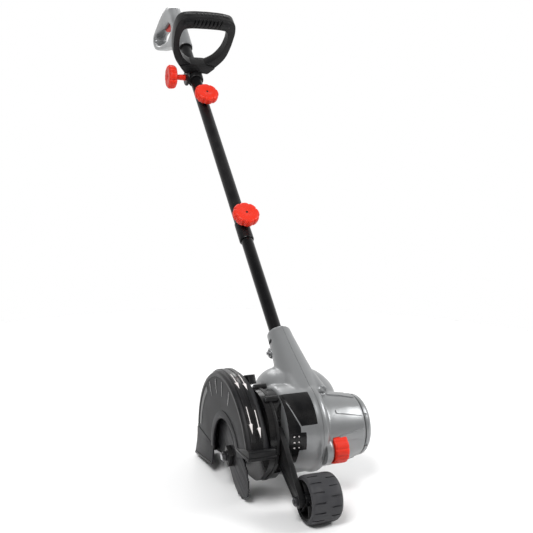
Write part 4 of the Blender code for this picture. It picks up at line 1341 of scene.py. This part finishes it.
@dataclass
class RearWheels(Assembly):
    """The pair of small wheels behind the head, on their bracket."""

    axis: tuple[float, float] = (0.090, -0.2472)
    root: tuple[float, float] = (-0.098, -0.232)
    radius: float = 0.0380
    width: float = 0.0240

    def build(self) -> None:
        """Builds the bracket, the axle and both wheels."""
        bracket = slab("tail_bracket", [
            belt([(self.axis, 0.0110), (self.root, 0.0180)]), arc(0.0043, self.axis),
        ], 0.0300, self.datum.side(-0.0400), 0.0020, 3)
        clears = [lathe("cutter", [(0, 0.03), (radius, 0.03), (radius, -0.09), (0, -0.09)],
                        self.datum.side(0, centre), 72)
                  for radius, centre in ((0.0790, (-0.162, -0.170)), (0.0700, (-0.105, -0.143)))]
        dress(carve(bracket, *clears), BLACK, "head", "rear_wheel_bracket")
        for i, x in enumerate((-0.0412, -0.0112)):
            rib = slab(f"bracket_rib_{i + 1}", [fillet([
                (0.078, -0.2440, 0.002), (0.0, -0.2375, 0.002), (-0.020, -0.2150, 0.004),
                (0.060, -0.2330, 0.01),
            ], True)], 0.0024, self.datum.side(x), 0.0008)
            dress(rib, BLACK, "head")
        axle = lathe("tail_axle", fillet([
            (0, 0.0620, 0), (0.0036, 0.0620, 0.0006), (0.0040, 0.0612, 0), (0.0040, -0.0872, 0),
            (0.0036, -0.0880, 0.0006), (0, -0.0880, 0),
        ]), self.datum.side(0, self.axis), 32)
        dress(axle, ZINC, "head", "rear_axle")
        for hand, left in (("left", -0.0860), ("right", 0.0360)):
            Wheel(self.datum, f"rear_{hand}", f"rear_{hand}_wheel", left, left + self.width, self.radius,
                  self.axis, grooves=13).build()


# ---- shaft and handles -------------------------------------------------------------------------------------

@dataclass
class HandKnob(Assembly):
    """A lobed red knob on a short boss."""

    name: str
    place: Matrix
    base: float
    body: str
    stands_for: tuple[str, ...]
    radius: float = 0.0300
    depth: float = 0.0215
    lobes: int = 8

    def build(self) -> None:
        """Builds the knob as a lobed skin with a rounded edge and a small centre hole."""
        top = self.base + self.depth
        profile = fillet([(self.radius * 0.78, self.base, 0), (self.radius * 0.92, self.base + 0.0015, 0.003),
                          (self.radius * 0.99, self.base + 0.0065, 0.006), (self.radius, top - 0.0045, 0.003),
                          (self.radius - 0.0040, top, 0.0035), (self.radius * 0.50, top, 0)])
        stops = [(0.0030, self.base), (self.radius * 0.40, self.base), *profile, (0.0095, top - 0.0004),
                 (0.0065, top - 0.0016), (0.0030, top - 0.0016)]
        rings = []
        for reach, height in stops:
            share = max(0.0, min(1.0, (reach / self.radius - 0.45) / 0.5))
            ring = []
            for k in range(144):
                angle = 2 * pi * k / 144
                dent = (0.5 - 0.5 * cos(self.lobes * angle)) ** 7
                out = reach * (1 - 0.085 * share * dent)
                ring.append(self.place @ Vector((out * cos(angle), out * sin(angle), height)))
            rings.append(ring)
        dress(skin(self.name, rings, True, 35), RED, self.body, *self.stands_for)
        well = lathe(f"{self.name}_centre", fillet([
            (0, top - 0.0022, 0), (0.0029, top - 0.0022, 0), (0.0029, top - 0.006, 0), (0, top - 0.006, 0),
        ]), self.place, 24)
        dress(well, BLACK, self.body)


@dataclass
class Shaft(Assembly):
    """The two tubes of the shaft, the collar and the two locking knobs."""

    def build(self) -> None:
        """Builds and dresses the tubes and knobs."""
        at = self.datum.shaft(0)
        lower = lathe("lower_shaft", [
            (0.0121, -0.110), (0.0133, -0.110), (0.0133, 0.364), (0.0121, 0.364), (0.0121, -0.110),
        ], at, 96)
        dress(lower, TUBE_PAINT, "head", "lower_tube")
        upper = lathe("upper_shaft", fillet([
            (0.0136, 0.955, 0), (0.0145, 0.955, 0), (0.0145, 0.268, 0.002), (0.0160, 0.2645, 0.001),
            (0.0162, 0.2160, 0.0008), (0.0156, 0.2140, 0.0005), (0.0136, 0.2140, 0), (0.0136, 0.955, 0)]),
            at, 96)
        dress(upper, MATT_PAINT, "upper_shaft", "upper_tube")
        for name, along in (("lower", 0.259), ("upper", 0.662)):
            place = self.datum.shaft(along, 0, 0, OUTWARD)
            boss = lathe(f"{name}_boss", fillet([(0.0046, 0.0245, 0), (0.0080, 0.0245, 0.001),
                                                 (0.0094, 0.0215, 0.002), (0.0094, 0.0150, 0),
                                                 (0.0046, 0.0150, 0)]), place, 48)
            dress(boss, BLACK, "upper_shaft", f"{name}_knob_boss")
            HandKnob(self.datum, f"{name}_red_knob", place, 0.0250, f"{name}_knob",
                     (f"{name}_tube_knob",)).build()


@dataclass
class FrontHandle(Assembly):
    """The D-shaped front handle, its grip, its clamp and its knob."""

    start: float = 0.7630
    depth: float = 0.0380
    bar: tuple[float, float] = (0.7820, 0.1650)
    bar_r: float = 0.0165
    clamp: float = 0.7690

    def build(self) -> None:
        """Builds and dresses the handle."""
        self.frame_ring()
        self.grip()
        self.sleeve()
        self.clamp_knob()

    def frame_ring(self) -> None:
        """Makes the ring of the handle: rounded bars that taper from the sleeve up to the grip."""
        outer = fillet([(0, 0.1815, 0), (0.0380, 0.1805, 0.02), (0.0690, 0.1740, 0.016),
                        (0.0770, 0.1460, 0.03), (0.0750, 0.1000, 0.04), (0.0680, 0.0640, 0.03),
                        (0.0500, 0.0375, 0.02), (0.0290, 0.0150, 0)], steps=7)
        inner = fillet([(0, 0.1490, 0), (0.0360, 0.1485, 0.015), (0.0560, 0.1450, 0.008),
                        (0.0620, 0.1200, 0.03), (0.0570, 0.0850, 0.04), (0.0400, 0.0570, 0.03),
                        (0.0185, 0.0430, 0.004), (0, 0.0425, 0)], steps=7)
        whole_out = outer + [(-x, h) for x, h in outer[::-1][:-1]]
        whole_in = inner[:-1] + [(-x, h) for x, h in inner[::-1][:-1]]
        turn = self.datum.shaft(self.start + 0.0060, 0, 0, axes(TUBE_DIR, (1, 0, 0)))
        mirrored = [[(x, -h) for x, h in ring] for ring in (whole_out, whole_in)]
        bail = slab("d_frame", mirrored, self.depth - 0.0120, turn, 0.0080, 5)
        dress(bail, GRIP, "front_handle", "d_handle")

    def grip(self) -> None:
        """Makes the round grip with seven slanted finger grooves at its front."""
        rings = []
        count, half = 180, 0.0590
        for i in range(count + 1):
            x = -half + 2 * half * i / count
            place = self.datum.shaft(self.bar[0], self.bar[1] - 0.0030 * (x / half) ** 2, x,
                                     axes((1, 0, 0), TUBE_DIR))
            end = min(1.0, (half - abs(x)) / 0.010)
            swell = 0.0006 * (1 - (x / half) ** 2)
            ring = []
            for k in range(64):
                angle = 2 * pi * k / 64
                low_front = exp(-((angle - 2.75) / 0.95) ** 2)
                slant = x + 0.0050 * sin(angle - 2.75)
                phase = (slant / 0.0098) % 1.0
                dent = exp(-((phase - 0.5) / 0.17) ** 2) if abs(slant) < 0.0343 else 0.0
                radius = (self.bar_r + swell) * (0.80 + 0.20 * sqrt(max(0.0,
                    end * (2 - end)))) - 0.0042 * dent * low_front
                ring.append(place @ Vector((1.10 * radius * cos(angle), radius * sin(angle), 0)))
            rings.append(ring)
        dress(skin("d_grip", rings, sharp=50), GRIP, "front_handle")

    def sleeve(self) -> None:
        """Makes the sleeve round the shaft, the web above it and the clamp's ears."""
        at = self.datum.shaft(0)
        low, high = 0.7550, 0.8090
        sleeve = lathe("d_sleeve", fillet([
            (0.0149, high, 0.0004), (0.0195, high, 0.0020), (0.0205, high - 0.006, 0.004),
            (0.0212, 0.784, 0.01), (0.0205, low + 0.006, 0.004), (0.0195, low, 0.0020),
            (0.0149, low, 0.0004), (0.0149, high, 0)]), at, 80)
        dress(sleeve, GRIP, "front_handle")
        web = slab("d_web", [fillet([(0.0480, -0.0360, 0.006), (0.0300, -0.0150, 0.004),
                                     (0.0150, -0.0175, 0.006), (-0.0150, -0.0175, 0.006),
                                     (-0.0300, -0.0150, 0.004), (-0.0480, -0.0360, 0.006),
                                     (-0.0180, -0.0440, 0.006), (0.0180, -0.0440, 0.006)], True)],
                   self.depth - 0.0080, self.datum.shaft(self.start + 0.0035, 0, 0,
                                                         axes(TUBE_DIR, (1, 0, 0))), 0.0040, 4)
        bore = lathe("cutter", [(0, 0.90), (0.0149, 0.90), (0.0149, 0.70), (0, 0.70)], at, 64)
        dress(carve(web, bore), GRIP, "front_handle")
        ear = lathe("clamp_ear", fillet([
            (0.0046, 0.0257, 0), (0.0185, 0.0257, 0.001), (0.0205, 0.0240, 0.0015), (0.0209, 0.0215, 0.001),
            (0.0200, 0.0195, 0), (0.0046, 0.0195, 0)]), self.datum.shaft(self.clamp, 0, 0, LEFTWARD), 72)
        dress(ear, BLACK, "front_handle")

    def clamp_knob(self) -> None:
        """Makes the red boss and the red knob at the handle's left."""
        place = self.datum.shaft(self.clamp, 0, 0, LEFTWARD)
        (low, _, _), (high, _, _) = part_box("clamp_boss")
        boss = lathe("clamp_hub", fillet([
            (0.0046, self.datum.socket.x - low - 0.0005, 0),
            (0.0062, self.datum.socket.x - low - 0.0005, 0.001),
            (0.0078, self.datum.socket.x - high + 0.0035, 0.006),
            (0.0080, self.datum.socket.x - high + 0.0003, 0.001),
            (0.0046, self.datum.socket.x - high + 0.0003, 0),
        ]), place, 48)
        dress(boss, RED, "handle_clamp", "clamp_boss")
        base = self.datum.socket.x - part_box("clamp_knob")[1][0]
        HandKnob(self.datum, "clamp_red_knob", place, base, "handle_clamp", ("clamp_knob",)).build()


@dataclass
class RearHandle(Assembly):
    """The closed rear handle, its trigger, button and inlet."""

    half: float = 0.0200
    centre: tuple[float, float] = (0.8150, 0.6930)
    pivot: tuple[float, float] = (0.7640, 0.7240)
    button: tuple[float, float] = (0.8300, 0.7525)
    inlet: tuple[float, float] = (0.9270, 0.6920)
    outer: tuple[tuple[float, float], ...] = (
        (0.660, 0.640), (0.700, 0.6425), (0.760, 0.649), (0.830, 0.654), (0.880, 0.659), (0.905, 0.665),
        (0.923, 0.677), (0.930, 0.692), (0.924, 0.707), (0.900, 0.723), (0.850, 0.746), (0.800, 0.763),
        (0.763, 0.768), (0.733, 0.757), (0.700, 0.728), (0.672, 0.700))
    hole: tuple[tuple[float, float], ...] = (
        (0.725, 0.688), (0.744, 0.679), (0.770, 0.671), (0.800, 0.6675), (0.840, 0.668), (0.878, 0.675),
        (0.900, 0.686), (0.904, 0.697), (0.890, 0.706), (0.850, 0.708), (0.800, 0.710), (0.765, 0.715),
        (0.745, 0.716), (0.727, 0.708), (0.718, 0.698))

    def build(self) -> None:
        """Builds and dresses the handle."""
        self.shells()
        self.trigger()
        self.fittings()

    def reach(self, outline: Sequence[tuple[float, float]], angle: float) -> float:
        """Gives how far an outline lies from the loop's centre along a ray.

        Args:
            outline: A closed outline in (Y, Z).
            angle: The ray's angle in radians.

        Returns:
            The distance.
        """
        way = Vector((cos(angle), sin(angle)))
        best = 0.0
        for i, point in enumerate(outline):
            one = Vector(point) - Vector(self.centre)
            two = Vector(outline[(i + 1) % len(outline)]) - Vector(self.centre)
            edge = two - one
            across = way.x * edge.y - way.y * edge.x
            if abs(across) < 1e-9:
                continue
            distance = (one.x * edge.y - one.y * edge.x) / across
            share = (one.x * way.y - one.y * way.x) / across
            if -1e-6 <= share <= 1 + 1e-6 and distance > best:
                best = distance
        return best

    def shells(self) -> None:
        """Makes the loop and its socket as one skin, and parts them down the middle."""
        rings = []
        for i in range(96):
            angle = 2 * pi * i / 96
            near, far = self.reach(self.hole, angle) + 0.0004, self.reach(self.outer, angle) - 0.0004
            middle, tall = (near + far) / 2, (far - near) / 2
            power = 0.50
            ring = []
            for k in range(48):
                turn = 2 * pi * k / 48
                c, s = cos(turn), sin(turn)
                out = middle + tall * abs(c) ** power * (1 if c > 0 else -1)
                side = (self.half - 0.0006) * abs(s) ** power * (1 if s > 0 else -1)
                ring.append(self.datum.head(side, self.centre[0] + out * cos(angle),
                                            self.centre[1] + out * sin(angle)))
            rings.append(ring)
        loop = skin("handle_loop", rings, True)
        rings = []
        for i in range(13):
            t = i / 12
            place = self.datum.shaft(0.8905 + 0.0950 * t, 0.0012 * t)
            rings.append([place @ Vector(((0.0190 + 0.0004 * t) * abs(cos(a)) ** 0.85
                                          * (1 if cos(a) > 0 else -1),
                                          (0.0200 + 0.0040 * t) * abs(sin(a)) ** 0.85
                                          * (1 if sin(a) > 0 else -1), 0))
                          for a in (2 * pi * k / 64 for k in range(64))])
        solid = fuse("handle_solid", [loop, skin("handle_socket", rings)], 0.0013, 8)
        at = self.datum.shaft(0)
        bore = lathe("cutter", [(0, 0.957), (0.0148, 0.957), (0.0148, 0.85), (0, 0.85)], at, 64)
        trigger_room = slab("cutter", [[(self.pivot[0] - 0.010, 0.7300), (self.pivot[0] - 0.0100, 0.700),
                                        (0.8240, 0.700), (0.8240, 0.7300)]],
                            0.0150, self.datum.side(-0.0075), 0)
        carve(solid, bore, trigger_room)
        for hand, side in (("left", -1), ("right", 1)):
            shell = halve(solid, f"rear_grip_{hand}", self.datum.socket.x + side * 0.0002, side > 0, 40)
            dress(shell, SILVER, "upper_shaft", f"rear_handle_{hand}_shell")
        bpy.data.objects.remove(solid)
        liner = lathe("socket_mouth", fillet([(0.0150, 0.8925, 0), (0.0180, 0.8925, 0.0008),
                                              (0.0186, 0.8885, 0.0008), (0.0150, 0.8885, 0.0005),
                                              (0.0150, 0.8925, 0)]), at, 64)
        dress(liner, BLACK, "upper_shaft")

    def trigger(self) -> None:
        """Makes the red trigger: a curved bar that is rounded where the finger rests."""
        y, z = self.pivot
        outline = fillet([(y - 0.0058, z + 0.0033, 0.001), (y - 0.0058, z - 0.012, 0.002),
                          (y - 0.001, z - 0.0228, 0.004), (y + 0.008, z - 0.0278, 0.006),
                          (y + 0.030, z - 0.0248, 0.02), (y + 0.050, z - 0.0193, 0.006),
                          (y + 0.0558, z - 0.0130, 0.003), (y + 0.0515, z - 0.0085, 0.002),
                          (y, z + 0.0033, 0)], True)
        piece = slab("red_trigger", [outline, arc(0.0024, self.pivot)], 0.0122, self.datum.side(-0.0061),
                     0.0026, 4)
        dress(piece, RED, "trigger_body", "trigger")

    def fittings(self) -> None:
        """Makes the lock-off button, the cable inlet and the shell's screws."""
        lean = axes((0, sin(radians(18)), cos(radians(18))), (1, 0, 0))
        place = Matrix.Translation(self.datum.head(0, *self.button)) @ lean
        button = lathe("lock_button_cap", fillet([
            (0, 0.0038, 0), (0.0048, 0.0038, 0.0012), (0.0059, 0.0024, 0.001), (0.0059, -0.0040, 0),
            (0, -0.0040, 0),
        ]), place, 40)
        dress(button, BLACK, "lock_button", "lock_off_button")
        at = Matrix.Translation(self.datum.head(0, *self.inlet)) @ axes((0, 1, 0), (1, 0, 0))
        inlet = lathe("cord_inlet", fillet([
            (0.0043, 0.0078, 0.0003), (0.0074, 0.0078, 0.001), (0.0078, 0.0040, 0), (0.0070, 0.0030, 0),
            (0.0070, 0.0015, 0), (0.0088, 0.0005, 0.0008), (0.0088, -0.0078, 0), (0.0043, -0.0078, 0),
            (0.0043, 0.0078, 0),
        ]), at, 40)
        dress(inlet, BLACK, "upper_shaft", "cable_inlet")
        for i, (y, z) in enumerate(((0.742, 0.742), (0.868, 0.722), (0.700, 0.668), (0.850, 0.661))):
            ring = lathe(f"grip_screw_{i + 1}", fillet([
                (0, 0.0002, 0), (0.0022, 0.0002, 0), (0.0022, 0.0006, 0), (0.0030, 0.0006, 0),
                (0.0032, -0.006, 0), (0, -0.006, 0),
            ]), self.datum.side(self.half - 0.0008, (y, z)), 24)
            dress(ring, ZINC, "upper_shaft")


# ---- what is left of the frame, the room and the camera ----------------------------------------------------

def dress_inner_nodes() -> None:
    """Gives every node that no finished piece stands for the finish of its material slot."""
    slots = {row["node"]: Slot(row["material_slot"]) for row in frame["record"]["subparts"]}
    for name, slot in slots.items():
        node = bpy.data.objects.get(name)
        if node is None or node.hide_render:
            continue
        node.data.materials.clear()
        node.data.materials.append(ROUGH_FINISHES[slot].material())
        log.info("%s: dressed as it stands", name)


@dataclass
class Studio(Assembly):
    """The pale floor, the soft lights and the camera."""

    camera_offset: tuple[float, float, float] = (-0.58206, -1.45118, 0.30094)
    camera_turn: tuple[float, float, float] = (83.1, 0.0, -21.4)
    lens: float = 52.68
    sensor: float = 36.0

    def build(self) -> None:
        """Builds the room."""
        self.floor()
        self.lights()
        self.camera()

    def floor(self) -> None:
        """Lays the floor and gives it a faint mottle."""
        shape = bmesh.new()
        bmesh.ops.create_circle(shape, cap_ends=True, segments=96, radius=1.5)
        floor = new_piece("floor", shape)
        material = bpy.data.materials.new("pale_floor")
        material.use_nodes = True
        graph = Graph(material.node_tree)
        noise = graph.add("ShaderNodeTexNoise", None, Scale=3.0, Detail=3.0)
        tone = graph.blend(noise.outputs[0], (0.86, 0.86, 0.86, 1.0), (0.89, 0.89, 0.89, 1.0))
        shader = material.node_tree.nodes["Principled BSDF"]
        graph.tree.links.new(tone, shader.inputs["Base Color"])
        shader.inputs["Roughness"].default_value = 0.7
        floor.data.materials.append(material)

    def lights(self) -> None:
        """Hangs three soft lights in a surround that is white behind the object and darker in front."""
        world = bpy.data.worlds.new("surround")
        world.use_nodes = True
        graph = Graph(world.node_tree)
        way = graph.add("ShaderNodeTexCoord").outputs["Generated"]
        facing = graph.add("ShaderNodeVectorMath", {"operation": "DOT_PRODUCT"}, i0=way,
                           i1=(0.365, 0.931, 0.0))
        tone = graph.blend(graph.stretch(facing.outputs["Value"], -0.2, 0.75), (0.22, 0.22, 0.222, 1.0),
                           (1.0, 1.0, 1.0, 1.0))
        graph.tree.links.new(tone, world.node_tree.nodes["Background"].inputs["Color"])
        world.node_tree.nodes["Background"].inputs["Strength"].default_value = 1.0
        bpy.context.scene.world = world
        for name, place, size, power in (("key", (-1.2, -1.7, 2.3), 1.0, 62.0),
                                         ("fill", (1.9, -1.2, 1.6), 1.0, 34.0),
                                         ("back", (0.3, 2.0, 2.2), 1.6, 30.0)):
            lamp = bpy.data.lights.new(name, "AREA")
            lamp.size, lamp.energy = size, power
            holder = bpy.data.objects.new(name, lamp)
            holder.location = place
            holder.rotation_euler = (Vector((0, 0, 0.45)) - Vector(place)).to_track_quat("-Z", "Y").to_euler()
            bpy.context.scene.collection.objects.link(holder)

    def camera(self) -> None:
        """Sets the camera at the front left, a little above the head."""
        lens = bpy.data.cameras.new("camera")
        lens.lens, lens.sensor_width, lens.clip_start = self.lens, self.sensor, 0.01
        camera = bpy.data.objects.new("camera", lens)
        camera.location = self.datum.socket + Vector(self.camera_offset)
        camera.rotation_euler = [radians(angle) for angle in self.camera_turn]
        bpy.context.scene.collection.objects.link(camera)
        bpy.context.scene.camera = camera
        bpy.context.scene.view_settings.view_transform = "Standard"


def main() -> None:
    """Builds every piece in order, then the room."""
    logging.basicConfig(level=logging.INFO, format="%(message)s")
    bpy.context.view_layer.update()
    datum = Datum()
    for assembly in (Head, GearCase, Guard, BladeDrive, GuideWheel, RearWheels, Shaft, FrontHandle,
                     RearHandle):
        log.info("building %s", assembly.__name__)
        assembly(datum).build()
    dress_inner_nodes()
    Studio(datum).build()


if __name__ == "__main__":
    main()
